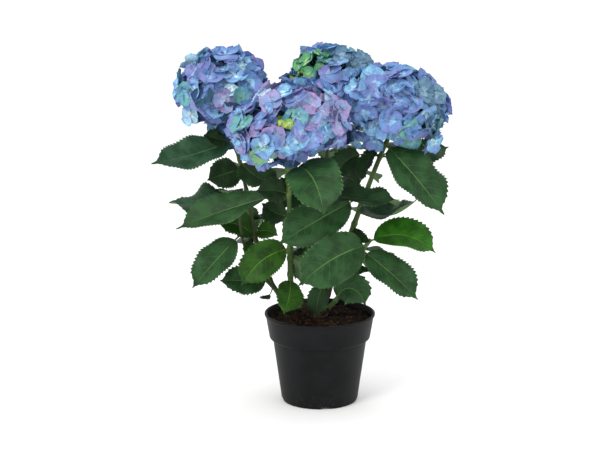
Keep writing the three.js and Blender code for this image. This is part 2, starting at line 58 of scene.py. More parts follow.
class Level:
    """A value in a finish; sums, products and quotients of levels and numbers add Math nodes."""

    def __init__(self, finish, socket):
        self.finish, self.socket = finish, socket

    def work(self, kind, first, second=0.0):
        """One operation on two values, as a node."""
        return self.finish.node("Math", {"operation": kind}, {0: first, 1: second})

    def __add__(self, other):
        return self.work("ADD", self, other)

    def __sub__(self, other):
        return self.work("SUBTRACT", self, other)

    def __rsub__(self, other):
        return self.work("SUBTRACT", other, self)

    def __mul__(self, other):
        return self.work("MULTIPLY", self, other)

    def __truediv__(self, other):
        return self.work("DIVIDE", self, other)

    def __abs__(self):
        return self.work("ABSOLUTE", self)

    __radd__, __rmul__ = __add__, __mul__

    def rest(self):
        """What is left over the whole number below."""
        return self.work("FRACT", self)

    def step(self, low, high):
        """Nought below low, one above high, eased between them."""
        return self.finish.node("MapRange", {"interpolation_type": "SMOOTHSTEP"},
                                {"Value": self, "From Min": low, "From Max": high})


class Finish:
    """One material: a plain shader whose sockets take numbers, colours or levels."""

    def __init__(self, name, colour, roughness, shine=0.5):
        self.material = bpy.data.materials.new(name)
        self.material.use_nodes = True
        self.tree = self.material.node_tree
        self.shader = self.tree.nodes["Principled BSDF"]
        self.paint(colour, roughness)
        self.fill(self.shader, {"Specular IOR Level": shine})

    def paint(self, colour, roughness):
        """Gives the surface its colour and its roughness."""
        self.fill(self.shader, {"Base Color": colour, "Roughness": roughness})

    def fill(self, node, values):
        """Sets or links sockets of a node, by name or number. A colour may be a code or numbers."""
        for key, value in values.items():
            socket = node.inputs[key]
            if isinstance(value, Level):
                self.tree.links.new(value.socket, socket)
            elif socket.type == "RGBA":
                plain = tone(value) if isinstance(value, str) else value
                socket.default_value = (*plain, 1.0)
            else:
                socket.default_value = value

    def node(self, kind, settings=None, values=None, out=0):
        """Adds a node of a kind with its settings and sockets, and gives one of its outputs."""
        made = self.tree.nodes.new("ShaderNode" + kind)
        for key, value in (settings or {}).items():
            setattr(made, key, value)
        self.fill(made, values or {})
        return Level(self, made.outputs[out])

    def mix(self, share, first, second):
        """One colour turning into another by a share."""
        return self.node("Mix", {"data_type": "RGBA"}, {0: share, 6: first, 7: second}, out=2)

    def noise(self, scale, detail=3.0, stretch=None, roughness=0.5):
        """Soft random value over the object's own coordinates, scale in waves to the metre."""
        place = self.node("TexCoord", out=3)
        if stretch:
            place = self.node("VectorMath", {"operation": "MULTIPLY"}, {0: place, 1: stretch})
        return self.node("TexNoise", None,
                         {"Vector": place, "Scale": scale, "Detail": detail, "Roughness": roughness})

    def relief(self, height, depth, strength=0.5):
        """Fine relief of the surface, depth in millimetres."""
        self.fill(self.shader, {"Normal": self.node(
            "Bump", None, {"Height": height, "Distance": depth * 0.001, "Strength": strength})})


def cells(n):
    """Quads between the neighbouring rows and columns of an array of point numbers."""
    return np.stack([n[:-1, :-1], n[:-1, 1:], n[1:, 1:], n[1:, :-1]], -1).reshape(-1, 4)


def grid(rows, columns, closed=False):
    """Quads of a grid of points held row after row; a closed one joins last column to first."""
    numbers = np.arange(rows * columns).reshape(rows, columns)
    return cells(np.concatenate([numbers, numbers[:, :1]], axis=1) if closed else numbers)


def lathe(profile, angles):
    """Closed turned body: radius times cosine and sine of each angle, and the height, for every
    profile point but the first and last, which lie on the axis and close it."""
    rings = np.asarray(profile, float)[1:-1]
    angles = np.broadcast_to(angles, (len(rings), np.shape(angles)[-1]))
    r, z = rings[:, :1], rings[:, 1:]
    points = np.stack([r * np.cos(angles), r * np.sin(angles), z + 0 * angles], -1)
    return np.concatenate([points.reshape(-1, 3), [[0, 0, profile[0][1]], [0, 0, profile[-1][1]]]]), \
        capped(len(rings), angles.shape[1])


def capped(rows, columns):
    """Faces of a closed grid with a pole at each end: its quads, and a fan of triangles each."""
    k = np.arange(columns)
    n, far, last = (k + 1) % columns, rows * columns, (rows - 1) * columns
    fans = np.concatenate([np.stack([n, k, k * 0 + far], -1),
                           np.stack([k + last, n + last, k * 0 + far + 1], -1)])
    return [grid(rows, columns, True), fans]


def volume(points, faces):
    """Sum of signed pyramids from the origin to every face, to tell inside from outside."""
    total = 0.0
    for f in faces:
        for i in range(1, f.shape[1] - 1):
            a, b, c = points[f[:, 0]], points[f[:, i]], points[f[:, i + 1]]
            total += (a * np.cross(b, c)).sum()
    return total


def placed(name, data):
    """A new object that holds the data, linked into the scene."""
    made = bpy.data.objects.new(name, data)
    bpy.context.scene.collection.objects.link(made)
    return made


def put(name, points, faces, finishes, picks=None, flat=None, rim=None, solid=True):
    """One piece of the plant from points in millimetres and arrays of faces. picks gives each
    face its finish, flat the unrolled place of each point, rim the points of a sharp edge."""
    points = np.asarray(points, float)
    if solid and volume(points, faces) < 0:
        faces = [f[:, ::-1] for f in faces]
    corners = np.concatenate([f.ravel() for f in faces]).astype(np.int32)
    sides = np.concatenate([np.full(len(f), f.shape[1]) for f in faces])
    mesh = bpy.data.meshes.new(name)
    mesh.vertices.add(len(points))
    mesh.vertices.foreach_set("co", (points * 0.001).astype(np.float32).ravel())
    mesh.loops.add(len(corners))
    mesh.loops.foreach_set("vertex_index", corners)
    mesh.polygons.add(len(sides))
    mesh.polygons.foreach_set("loop_start", (np.cumsum(sides) - sides).astype(np.int32))
    mesh.polygons.foreach_set("use_smooth", np.ones(len(sides), bool))
    if picks is not None:
        mesh.polygons.foreach_set("material_index", np.asarray(picks).astype(np.int32))
    if flat is not None:
        mesh.uv_layers.new(name="flat").data.foreach_set("uv", flat[corners].astype(np.float32).ravel())
    for finish in finishes:
        mesh.materials.append(finish.material)
    mesh.update(calc_edges=True)
    if rim is not None:
        ends = np.empty(2 * len(mesh.edges), np.int32)
        mesh.edges.foreach_get("vertices", ends)
        sharp = mesh.attributes.new("sharp_edge", "BOOLEAN", "EDGE")
        sharp.data.foreach_set("value", rim[ends.reshape(-1, 2)].all(1))
    piece = placed(name, mesh)
    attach(piece, "root")
    return piece


def rounded(corners, radii, steps=5):
    """A profile with rounded corners: each is a short curve between points set back along its sides."""
    corners, line = np.array(corners, float), [corners[0]]
    t = np.linspace(0, 1, steps)[:, None]
    for before, here, after, radius in zip(corners, corners[1:], corners[2:], radii):
        away, on = before - here, after - here
        a = here + away / np.linalg.norm(away) * min(radius, 0.45 * np.linalg.norm(away))
        b = here + on / np.linalg.norm(on) * min(radius, 0.45 * np.linalg.norm(on))
        line.extend((1 - t) ** 2 * a + 2 * t * (1 - t) * here + t * t * b if radius else here[None])
    return np.array([*line, corners[-1]], float)


def inner_radius(z):
    """Radius of the pot's inner wall at a height, below and above its step."""
    band = BAND_FOOT - POT_WALL + (BAND_TOP - BAND_FOOT) / BAND_HEIGHT * (z - BAND_Z)
    return np.where(z > BAND_Z, band, BODY_FOOT - POT_WALL + BODY_SLOPE * (z - FOOT_ROUNDING))


pot_corners = [
    (0, 0), (CHANNEL_START - 0.3, 0), (CHANNEL_START + 0.3, 0), (BODY_FOOT - 1 - FOOT_ROUNDING, 0),
    (BODY_FOOT - 1, 0), (BODY_TOP, BAND_Z - 4), (BAND_FOOT - 1.5, BAND_Z - 2), (BAND_FOOT, BAND_Z),
    (BAND_TOP, POT_HEIGHT - LIP_HEIGHT), (RIM_RADIUS, POT_HEIGHT - LIP_HEIGHT + 0.8),
    (RIM_RADIUS, POT_HEIGHT), (BAND_TOP - POT_WALL, POT_HEIGHT),
    (inner_radius(BAND_Z + 2), BAND_Z + 2), (inner_radius(BAND_Z - 4), BAND_Z - 2),
    (inner_radius(POT_FLOOR + 4), POT_FLOOR + 4), (inner_radius(POT_FLOOR) - 4, POT_FLOOR), (0, POT_FLOOR),
]
pot_profile = rounded(pot_corners, [0, 0, 0, 7, 1.2, 0.8, 1.2, 0.7, 0.8, 1.6, 1.2, 1, 1, 2, 2])
rows = pot_profile[1:-1]
# Each quarter of the pot has 72 columns, and those nearest its middle are drawn together or
# apart in every row, so that two lie at the channel's mouth and two at its roof.
columns = (np.arange(72) - 36) * 1.25
ROOF_COLUMN, MOUTH_COLUMN = 7.5, 8.75
reach = np.maximum(rows[:, 0], 16)
roof, mouth = (np.degrees(np.arcsin(w / 2 / reach)) for w in (CHANNEL_ROOF, CHANNEL_WIDTH))
knots = [-45, -MOUTH_COLUMN, -ROOF_COLUMN, 0, ROOF_COLUMN, MOUTH_COLUMN, 45]
turns = np.array([np.interp(columns, knots, [-45, -m, -r, 0, r, m, 45]) for r, m in zip(roof, mouth)])
quarter = np.concatenate([turns + CHANNEL_HEADING + 90 * i for i in range(4)], axis=1)
pot_points, pot_faces = lathe(pot_profile, np.radians(quarter))
inside = np.tile(np.abs(columns) <= ROOF_COLUMN, 4)[None] & (rows[:, :1] > CHANNEL_START)
wall = pot_points[:-2].reshape(len(rows), -1, 3)
wall[..., 2] = np.where(inside & (wall[..., 2] < CHANNEL_DEPTH), CHANNEL_DEPTH, wall[..., 2])

pot_finish = Finish("black pot plastic", "#141517", 0.5, shine=0.12)
cloud = pot_finish.noise(28, 4)
grain = pot_finish.noise(900, 2)
place = pot_finish.node("TexCoord", out=3)
height = pot_finish.node("SeparateXYZ", None, {0: place}, out=2)
dust = pot_finish.noise(160, 5).step(0.52, 0.72) * (1 - height.step(0.0, 0.05)) * 0.5
body = pot_finish.mix(cloud.step(0.35, 0.7), "#0d0e0f", "#141517")
pot_finish.paint(pot_finish.mix(dust, body, "#332f29"), 0.42 + cloud * 0.18 + dust * 0.25)
pot_finish.relief(grain + cloud * 0.6, 0.25, 0.35)
pot = put("nursery_pot", pot_points, pot_faces, [pot_finish])
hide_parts("pot")


# The compost: dark bark and peat that fills the pot to just under its lip, a little higher
# round the foot of the shrub, with loose crumbs and reddish bark chips lying on it.
SOIL_EDGE, SOIL_TOP, SOIL_FLAT = 145.0, 150.0, 32.0


def lumps(x, y, seed, count=16, longest=46.0, shortest=7.0):
    """Gentle relief in millimetres: plane waves of seeded length, heading and phase added up."""
    chance = np.random.default_rng(seed)
    length = np.geomspace(longest, shortest, count)
    heading, phase = chance.uniform(0, 2 * np.pi, (2, count))
    wave = (np.multiply.outer(x, np.cos(heading)) + np.multiply.outer(y, np.sin(heading))) / length
    return (np.sin(2 * np.pi * wave + phase) * length).sum(-1) * 0.016


def soil_height(x, y):
    """A flat middle that falls in two straight slopes to the wall, and the relief on it."""
    fall = [SOIL_TOP, SOIL_TOP, SOIL_EDGE + 2.5, SOIL_EDGE]
    return np.interp(np.hypot(x, y), [0, SOIL_FLAT, 58, 89], fall) + lumps(x, y, 5)


def copies(faces, size, count):
    """The same faces for each of a number of alike bodies of that many points."""
    return [(f[None] + size * np.arange(count)[:, None, None]).reshape(-1, f.shape[1]) for f in faces]


def ball(rows=4, columns=6):
    """Points and faces of a small round body: rings between two poles."""
    a = np.pi * np.arange(1, rows + 1)[:, None] / (rows + 1)
    h = 2 * np.pi * np.arange(columns)[None] / columns
    ring = np.stack([np.sin(a) * np.cos(h), np.sin(a) * np.sin(h), np.cos(a) + 0 * h], -1).reshape(-1, 3)
    return np.concatenate([ring, [[0, 0, 1], [0, 0, -1]]]), capped(rows, columns)


def turning(yaw, pitch):
    """Matrices that pitch about X and then turn about Z."""
    c, s, d, e, o = np.cos(yaw), np.sin(yaw), np.cos(pitch), np.sin(pitch), 0 * yaw
    return np.stack([c, -s * d, s * e, s, c * d, -c * e, o, e, d], -1).reshape(-1, 3, 3)


surface_rows = np.concatenate([np.linspace(1.5, 88, 56), [89.3]])
edge = inner_radius(SOIL_EDGE) - 0.6
soil_profile = np.array([
    [0, SOIL_TOP], *[[r, SOIL_TOP] for r in surface_rows], [edge, SOIL_EDGE - 2],
    [inner_radius(BAND_Z + 4) - 0.6, BAND_Z + 4], [inner_radius(BAND_Z - 5) - 0.4, BAND_Z - 5],
    [inner_radius(POT_FLOOR + 5) - 0.4, POT_FLOOR + 5], [58, POT_FLOOR + 0.4], [0, POT_FLOOR + 0.4],
], float)
SOIL_COLUMNS = 160
soil_points, soil_faces = lathe(soil_profile, 2 * np.pi * np.arange(SOIL_COLUMNS) / SOIL_COLUMNS)
top = np.append(np.arange(len(surface_rows) * SOIL_COLUMNS), len(soil_points) - 2)
soil_points[top, 2] = soil_height(soil_points[top, 0], soil_points[top, 1])
peat = Finish("moist compost", "#18120c", 0.95, shine=0.1)
fleck = peat.noise(420, 6, roughness=0.7)
patch = peat.mix(peat.noise(90, 3).step(0.4, 0.65), "#0f0b08", "#211910")
peat.paint(peat.mix(fleck.step(0.56, 0.7), patch, "#432d22"), 0.98 - 0.25 * fleck)
peat.relief(fleck + peat.noise(1300, 3) * 0.5, 1.2, 0.9)
soil = put("compost", soil_points, soil_faces, [peat])
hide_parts("soil")

crumb_tones = ["#130e09", "#261a12", "#3f281b", "#563c2b", "#0d0a07"]
crumb_finishes = []
for i, code in enumerate(crumb_tones):
    bit = Finish(f"crumb {i + 1}", code, 0.9, shine=0.12)
    bit.fill(bit.shader, {"Roughness": 0.75 + 0.3 * bit.noise(700, 3)})
    bit.relief(bit.noise(900, 4), 0.5, 0.8)
    crumb_finishes.append(bit)
chance = np.random.default_rng(31)
CRUMBS = 1900
chip = chance.random(CRUMBS) < 0.3
size = np.where(chip, chance.uniform(3.0, 8.0, CRUMBS), chance.uniform(1.0, 2.6, CRUMBS))
broad = np.where(chip, chance.uniform(0.3, 0.6, CRUMBS), chance.uniform(0.6, 1, CRUMBS))
thick = np.where(chip, chance.uniform(0.16, 0.32, CRUMBS), chance.uniform(0.5, 0.9, CRUMBS))
shape = np.stack([size, size * broad, size * thick], -1) / 2
far = np.sqrt(chance.random(CRUMBS)) * (87 - size * 0.6)
turn = chance.uniform(0, 2 * np.pi, CRUMBS)
x, y = far * np.cos(turn), far * np.sin(turn)
seat = np.stack([x, y, soil_height(x, y) + 0.35 * shape[:, 2]], -1)
round_points, round_faces = ball()
knobbly = round_points[None] * chance.uniform(0.7, 1.25, (CRUMBS, len(round_points), 1)) * shape[:, None]
lie = turning(chance.uniform(0, 6.3, CRUMBS), chance.normal(0, 0.3, CRUMBS))
crumbs = np.einsum("nij,nkj->nki", lie, knobbly)
crumb_faces = copies(round_faces, len(round_points), CRUMBS)
kind = np.where(chip, chance.choice([1, 2, 3], CRUMBS, p=[0.4, 0.4, 0.2]), chance.choice([0, 1, 4], CRUMBS))
litter = put("bark_chips_and_crumbs", (crumbs + seat[:, None]).reshape(-1, 3), crumb_faces, crumb_finishes,
             np.concatenate([np.repeat(kind, len(f)) for f in round_faces]))
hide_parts("soil")


# The woody foot and canes: last year's wood, a swollen foot on the compost from which four
# canes spring and lean outwards, with grey-brown bark that cracks and lifts along the stem.
FOOT_MIDDLE, KNOB_RADIUS = (-5, 2, 148), 17.0
# Stem: start, end, heading and rise of each end in degrees, radius at each end.
STEMS = {
    "cane_left": ((-36, 0, 166), (-72, -2, 190), (180, 15), (180, 56), (5.6, 4.4)),
    "cane_front": ((-25, -14, 172), (-50, -13, 212), (200, 45), (250, 86), (6.5, 5.2)),
    "cane_right": ((8, -2, 176), (20, 0, 212), (0, 66), (0, 66), (7, 5.6)),
    "cane_back": ((-3, 14, 174), (5, 34, 222), (80, 62), (80, 72), (6.5, 5)),
    "shoot_left": ((-72, -2, 190), (-158, 52, 466), (180, 56), (150, 58), (4.2, 3)),
    "low_left": ((-78, -3, 199), (-136, -14, 330), (190, 40), (180, 94), (3, 2.2)),
    "shoot_front": ((-50, -13, 212), (-56, -86, 436), (250, 86), (262, 60), (5, 3.4)),
    "shoot_right": ((20, 0, 212), (114, -10, 460), (0, 66), (355, 66), (5.4, 3.6)),
    "shoot_low_right": ((15, -16, 168), (86, -26, 290), (335, 42), (350, 52), (4, 2.8)),
    "shoot_back": ((5, 34, 222), (14, 110, 470), (80, 72), (85, 76), (4.8, 3.4)),
}
CANES = ("cane_left", "cane_front", "cane_right", "cane_back")


def way(heading, rise):
    """Unit vectors of a heading round the pot and a rise above the level, in degrees."""
    h, r = np.radians(heading), np.radians(rise)
    return np.stack(np.broadcast_arrays(np.cos(h) * np.cos(r), np.sin(h) * np.cos(r), np.sin(r)), -1)


def bend(start, end, first, last, count):
    """Cubic curve whose two inner points lie a third of the span out along its end directions."""
    a, d = np.array(start, float), np.array(end, float)
    third = np.linalg.norm(d - a) / 3
    b, c = a + way(*first) * third, d - way(*last) * third
    t = np.linspace(0, 1, count)[:, None]
    return (1 - t) ** 3 * a + 3 * (1 - t) ** 2 * t * b + 3 * (1 - t) * t * t * c + t ** 3 * d


def unit(v):
    """The same directions with a length of one."""
    return v / np.linalg.norm(v, axis=-1, keepdims=True)


def distance(path):
    """How far along a path each of its points lies."""
    return np.concatenate([[0], np.cumsum(np.linalg.norm(np.diff(path, axis=0), axis=1))])


def circle(side, above, sides):
    """For each pair of directions a ring: side times cosine and above times sine of the turn."""
    turn = 2 * np.pi * np.arange(sides) / sides
    return side[:, None] * np.cos(turn)[:, None] + above[:, None] * np.sin(turn)[:, None]


def tube(path, radii, sides, up=(0, 1, 0), relief=None):
    """Round limb: at each point of the path a ring of its radius along two directions square to
    the path. relief gives each radius a factor from turn and length."""
    along = unit(np.gradient(path, axis=0))
    side = unit(np.cross(along, up))
    above = np.cross(side, along)
    turn = 2 * np.pi * np.arange(sides) / sides
    factor = np.ones(sides) if relief is None else relief(turn[None], distance(path)[:, None])
    r = np.asarray(radii, float)[:, None] * factor
    ring = path[:, None] + r[..., None] * circle(side, above, sides)
    return np.concatenate([ring.reshape(-1, 3), path[:1], path[-1:]]), capped(len(path), sides)


def join(bodies):
    """Many bodies as one: points end to end, faces moved on to match."""
    points, faces, start = [], [[], []], 0
    for p, f in bodies:
        points.append(p)
        for kept, new in zip(faces, f):
            kept.append(new + start)
        start += len(p)
    return np.concatenate(points), [np.concatenate(f) for f in faces]


def bark_relief(seed):
    """Ridges that wander along the limb, and a slow unevenness."""
    chance = np.random.default_rng(seed)
    p = chance.uniform(0, 6.3, 5)

    def factor(turn, run):
        ridge = 0.05 * np.sin(7 * turn + p[0] + 1.2 * np.sin(run / 9 + p[1]))
        ridge = ridge + 0.035 * np.sin(13 * turn + p[2] + run / 7)
        lump = 0.05 * np.sin(run / 5 + 2 * turn + p[3]) + 0.03 * np.sin(run / 2.3 + p[4] - 3 * turn)
        return 1 + ridge + lump

    return factor


BARK_SIDES = 28
wood = []
for i, name in enumerate(CANES):
    start, end, first, last, radii = STEMS[name]
    line = bend(start, end, first, last, 40)
    wood.append(tube(line, np.linspace(*radii, len(line)), BARK_SIDES, relief=bark_relief(40 + i)))
for i, name in enumerate((*CANES, "shoot_low_right")):
    start, _, first, _, radii = STEMS[name]
    arm = bend(FOOT_MIDDLE, start, (first[0], max(35, first[1])), first, 26)
    thick = np.linspace(10, radii[0] + 0.2, len(arm))
    wood.append(tube(arm, thick, BARK_SIDES, relief=bark_relief(50 + i)))
dome, dome_faces = ball(18, 32)
x, y, z = dome.T
swell = 1 + 0.05 * np.sin(15 * x + 2) * np.sin(14 * y) + 0.04 * np.sin(11 * z + 4 * x)
wood.append((dome * swell[:, None] * KNOB_RADIUS * (1.15, 0.95, 0.75) + FOOT_MIDDLE, dome_faces))
bark = Finish("old cane bark", "#43362a", 0.85, shine=0.25)
streak = bark.noise(260, 5, stretch=(1, 1, 0.18), roughness=0.65)
scale_marks = bark.noise(620, 3, stretch=(1, 1, 0.35))
brown = bark.mix(streak.step(0.36, 0.64), "#241a14", "#4d3f32")
bark.paint(bark.mix(scale_marks.step(0.6, 0.72) * 0.5, brown, "#6e604e"), 0.9 - 0.2 * streak)
bark.relief(streak + scale_marks * 0.4, 0.9, 0.8)
woody = put("woody_foot_and_canes", *join(wood), [bark])
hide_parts("root_crown", *CANES)


# The green shoots: this year's growth, smooth stems with swollen joints where leaf stalks
# spring, flecked with small corky spots, and the channelled stalks of the leaves.
# Leaf: height of its joint, heading, length of stalk and of blade, rise at the joint and at the
# tip, roll about the midrib, width as a share of its length, turn of the heading, and tint.
Leaf = namedtuple("Leaf", "at heading stalk blade rise fall roll share turn tint")
LEAVES = {
    "shoot_left": [
        (446, 207, 8, 148, -15, -4, 40, 0.43, 0, "blue"),
        (444, 222, 20, 50, 15, 20, 68, 0.58, 0, "deep"),
        (400, 222, 8, 70, -5, -8, 64, 0.78, 0, "deep"),
        (415, 310, 10, 92, -36, 8, -30, 0.62, 15, "deep"),
        (364, 170, 28, 113, -25, 2, 22, 0.58, 0, "blue"),
        (277, 200, 15, 70, 60, -4, 55, 0.7, -10, "fresh"),
        (290, 310, 8, 52, 34, -18, -60, 0.62, 10, "fresh"),
        (277, 235, 8, 32, 2, -48, 34, 0.54, 0, "fresh"),
        (214, 210, 8, 90, 4, 8, 66, 0.58, 0, "mid"),
        (348, 84, 18, 74, -45, -86, 8, 0.42, 0, "deep"),
    ],
    "low_left": [
        (201, 234, 15, 32, -60, 30, 10, 0.46, 0, "deep"),
        (297, 215, 15, 113, -37, -41, 33, 0.54, 0, "mid"),
        (324, 110, 10, 52, 40, 5, 0, 0.54, 0, "deep"),
    ],
    "shoot_front": [
        (424, 301, 38, 122, 18, -62, -20, 0.75, -8, "mid"),
        (398, 341, 48, 146, -16, 4, -15, 0.49, 10, "deep"),
        (375, 235, 8, 74, 22, 4, 68, 0.58, -18, "deep"),
        (380, 163, 42, 162, -18, -20, 34, 0.42, 30, "mid"),
        (334, 119, 8, 63, -11, 30, 64, 0.68, 34, "deep"),
        (274, 207, 8, 104, -8, -54, 66, 0.6, 0, "fresh"),
        (255, 344, 22, 46, 18, 20, -59, 0.54, 0, "fresh"),
        (226, 272, 17, 84, -30, -24, 26, 0.58, -18, "fresh"),
        (267, 22, 8, 62, -52, -86, 20, 0.56, 20, "deep"),
    ],
    "shoot_right": [
        (451, 321, 10, 152, -36, -44, -22, 0.54, 0, "mid"),
        (452, 195, 18, 64, -30, -82, 26, 0.54, 0, "deep"),
        (430, 22, 45, 84, -4, 10, -48, 0.56, 0, "mid"),
        (430, 187, 36, 62, 16, -64, 60, 0.7, 10, "deep"),
        (364, 201, 30, 146, -23, -27, 55, 0.53, 0, "mid"),
        (347, 298, 8, 130, -20, 45, -10, 0.54, 45, "blue"),
        (312, 290, 8, 46, -60, 5, -38, 0.44, 30, "deep"),
        (224, 224, 34, 53, -24, -86, 28, 0.72, 10, "deep"),
        (361, 130, 20, 69, 46, -38, 51, 0.52, -14, "deep"),
    ],
    "shoot_low_right": [
        (281, 214, 8, 142, -8, -35, 72, 0.6, -5, "mid"),
        (270, 332, 8, 119, -31, -41, -34, 0.54, 5, "mid"),
        (287, -5, 8, 115, 22, -41, -34, 0.6, 0, "bright"),
        (181, 336, 8, 76, 64, -64, -70, 0.78, -15, "mid"),
    ],
    "shoot_back": [
        (263, 216, 27, 65, 0, -86, 15, 0.56, -10, "deep"),
        (331, 198, 16, 104, 23, -4, 57, 0.57, -5, "deep"),
    ],
}
# Levels of the leaves that grow by rule: stem, lowest and highest joint, count.
LEVELS = [("shoot_back", 236, 440, 7), ("shoot_left", 262, 432, 5), ("shoot_right", 250, 430, 5),
          ("shoot_front", 262, 400, 4), ("shoot_low_right", 216, 262, 2)]
# Their stalk, rise at the joint and width as a share of the length, and the steps of every
# leaf's centre line. Then the fold of a blade, the room kept between leaves in millimetres and
# outside a head as a share of its half sizes squared, and the seed.
RULE_STALK, RULE_RISE, RULE_SHARE, LEAF_STEPS = 26, 12, 0.54, 40
LEAF_FOLD, LEAF_ROOM, HEAD_ROOM, LEVEL_SEED = math.radians(16), 10.0, 1.12, 87
# Flower head: middle, half width, half depth, height above and below, heading and rise of axis.
Head = namedtuple("Head", "middle wide deep above below axis")
HEADS = {
    "left": Head(np.array([-167.0, 60, 517]), 86, 84, 92, 54, (18, 73)),
    "front": Head(np.array([-51.0, -100, 506]), 105, 90, 70, 64, (219, 73)),
    "right": Head(np.array([120.0, -8, 515]), 99, 76, 74, 68, (352, 81)),
    "back": Head(np.array([21.0, 120, 523]), 91, 74, 80, 56, (80, 81)),
}


def head_axes(head):
    """The head's axis, and the two directions square to it, across and to the back."""
    axis = way(*HEADS[head].axis)
    across = unit(np.array([1.0, 0, 0]) - axis * axis[0])
    return axis, across, np.cross(axis, across)


def head_level(head, p):
    """How far out a point lies: squares of its three shares of the head's half sizes, added up."""
    middle, wide, deep, above, below, _ = HEADS[head]
    axis, across, back = head_axes(head)
    d = p - middle
    h = d @ axis
    return (d @ across / wide) ** 2 + (d @ back / deep) ** 2 + (h / np.where(h > 0, above, below)) ** 2


def joint(stem, height):
    """The point of a stem at a height."""
    line = bend(*STEMS[stem][:4], 400)
    return np.array([np.interp(height, line[:, 2], line[:, i]) for i in range(3)])


def leaf_line(stem, leaf):
    """Centre line of a leaf in equal steps from its joint: the heading turns evenly, and the rise
    eases from the stalk's to the tip's."""
    s = (np.arange(LEAF_STEPS) + 0.5) / LEAF_STEPS
    ease = s * s * (3 - 2 * s)
    ways = way(leaf.heading + leaf.turn * s, leaf.rise + (leaf.fall - leaf.rise) * ease)
    start = joint(stem, leaf.at)
    run = np.cumsum(ways, 0) * (leaf.stalk + leaf.blade) / LEAF_STEPS
    return np.concatenate([start[None], start + run]), np.concatenate([ways, ways[-1:]])


def pick(line, share):
    """Points at shares of the way along a line of evenly spaced points."""
    return np.stack([np.interp(share, np.linspace(0, 1, len(line)), line[:, i]) for i in range(3)], -1)


def leaf_share(leaf, t):
    """Share of the whole leaf, stalk and blade, that lies before a place along the blade."""
    return (leaf.stalk + leaf.blade * t) / (leaf.stalk + leaf.blade)


def blade_frame(line, leaf, t):
    """Middle, side and face directions of a blade at places along it, rolled about the midrib."""
    share = leaf_share(leaf, t)
    along = unit(pick(line[1], share))
    flat = unit(np.cross(along, (0, 0, 1)))
    above, roll = np.cross(flat, along), math.radians(leaf.roll)
    side = flat * math.cos(roll) + above * math.sin(roll)
    return pick(line[0], share), side, above * math.cos(roll) - flat * math.sin(roll)


def blade_shape(t):
    """Half width along a blade as a share of the widest, blunt at the stalk and longer at the tip."""
    return t ** 0.62 * (1 - t) ** 0.8 / (0.4366 ** 0.62 * 0.5634 ** 0.8)


def leaf_marks(stem, leaf):
    """Points that stand for a leaf when room is checked."""
    line = leaf_line(stem, leaf)
    stalk = pick(line[0], leaf_share(leaf, 0) * np.arange(5) / 4)
    t = np.arange(13) / 12
    middle, side, face = blade_frame(line, leaf, t)
    half = np.maximum(1.2, leaf.blade * leaf.share * blade_shape(t) / 2)[:, None]
    out, lift = side * half * math.cos(LEAF_FOLD), face * half * math.sin(LEAF_FOLD)
    return np.concatenate([stalk, middle, middle + out + lift, middle - out + lift])


def seeded(state):
    """Endless row of shares of one: each state is the last one times a number plus another."""
    while True:
        state = (state * 1664525 + 1013904223) & 0xFFFFFFFF
        yield state / 4294967296


def grow():
    """The listed leaves, and by turns two leaves and one at each level of the rule, turned away
    from the front, wherever no other shoot's leaf or stem is near and no flower head is."""
    leaves = {stem: [Leaf(*row) for row in rows] for stem, rows in LEAVES.items()}
    owner = {stem: stem for stem in STEMS} | {"low_left": "shoot_left"}
    taken = [(owner[stem], leaf_marks(stem, leaf)) for stem, own in leaves.items() for leaf in own]
    taken += [(owner[stem], bend(*STEMS[stem][:4], 60)) for stem in STEMS]
    draw = seeded(LEVEL_SEED)
    for stem, low, high, count in LEVELS:
        for i in range(count):
            for heading in ((50, 130), (90,))[i % 2]:
                heading += 16 * (next(draw) - 0.5)
                blade = 100 + 28 * next(draw)
                roll = 16 * (next(draw) - 0.5)
                fall = -30 - 20 * next(draw)
                at = round(low + (high - low) * i / (count - 1))
                tint = ("mid", "deep", "blue")[i % 3]
                leaf = Leaf(at, heading, RULE_STALK, blade, RULE_RISE, fall, roll, RULE_SHARE, 0, tint)
                marks = leaf_marks(stem, leaf)
                others = np.concatenate([m for own, m in taken if own != stem])
                near = np.sqrt(((others[:, None] - marks[None]) ** 2).sum(-1)).min() < LEAF_ROOM
                if not near and all(head_level(head, marks).min() >= HEAD_ROOM for head in HEADS):
                    leaves[stem].append(leaf)
                    taken.append((stem, marks))
    return leaves


leaves = grow()
STEM_TONES = {
    "shoot_left": ("#2c3a1a", "#3f4c26"), "shoot_front": ("#37501f", "#57722f"),
    "shoot_right": ("#34491f", "#4e672f"), "shoot_low_right": ("#36502a", "#526b34"),
    "shoot_back": ("#2f4522", "#48602d"),
}
STALK_FACES, STALK_REACH = 10, 0.16


def joint_relief(places):
    """A ring of swelling at each leaf joint, and faint flutes along the stem."""

    def factor(turn, run):
        swell = sum(np.exp(-((run - place) / 4.0) ** 2) for place in places)
        flutes = 0.02 * np.sin(4 * turn + run / 30) + 0.012 * np.sin(run / 3.1)
        return 1 + 0.28 * np.minimum(swell, 1.2) + flutes

    return factor


def groove(turn, run):
    """The channel along the top of a leaf stalk: the radius dips about a quarter turn."""
    off = np.angle(np.exp(1j * (turn - np.pi / 2)))
    return 1 - 0.28 * np.exp(-(off / 0.55) ** 2)


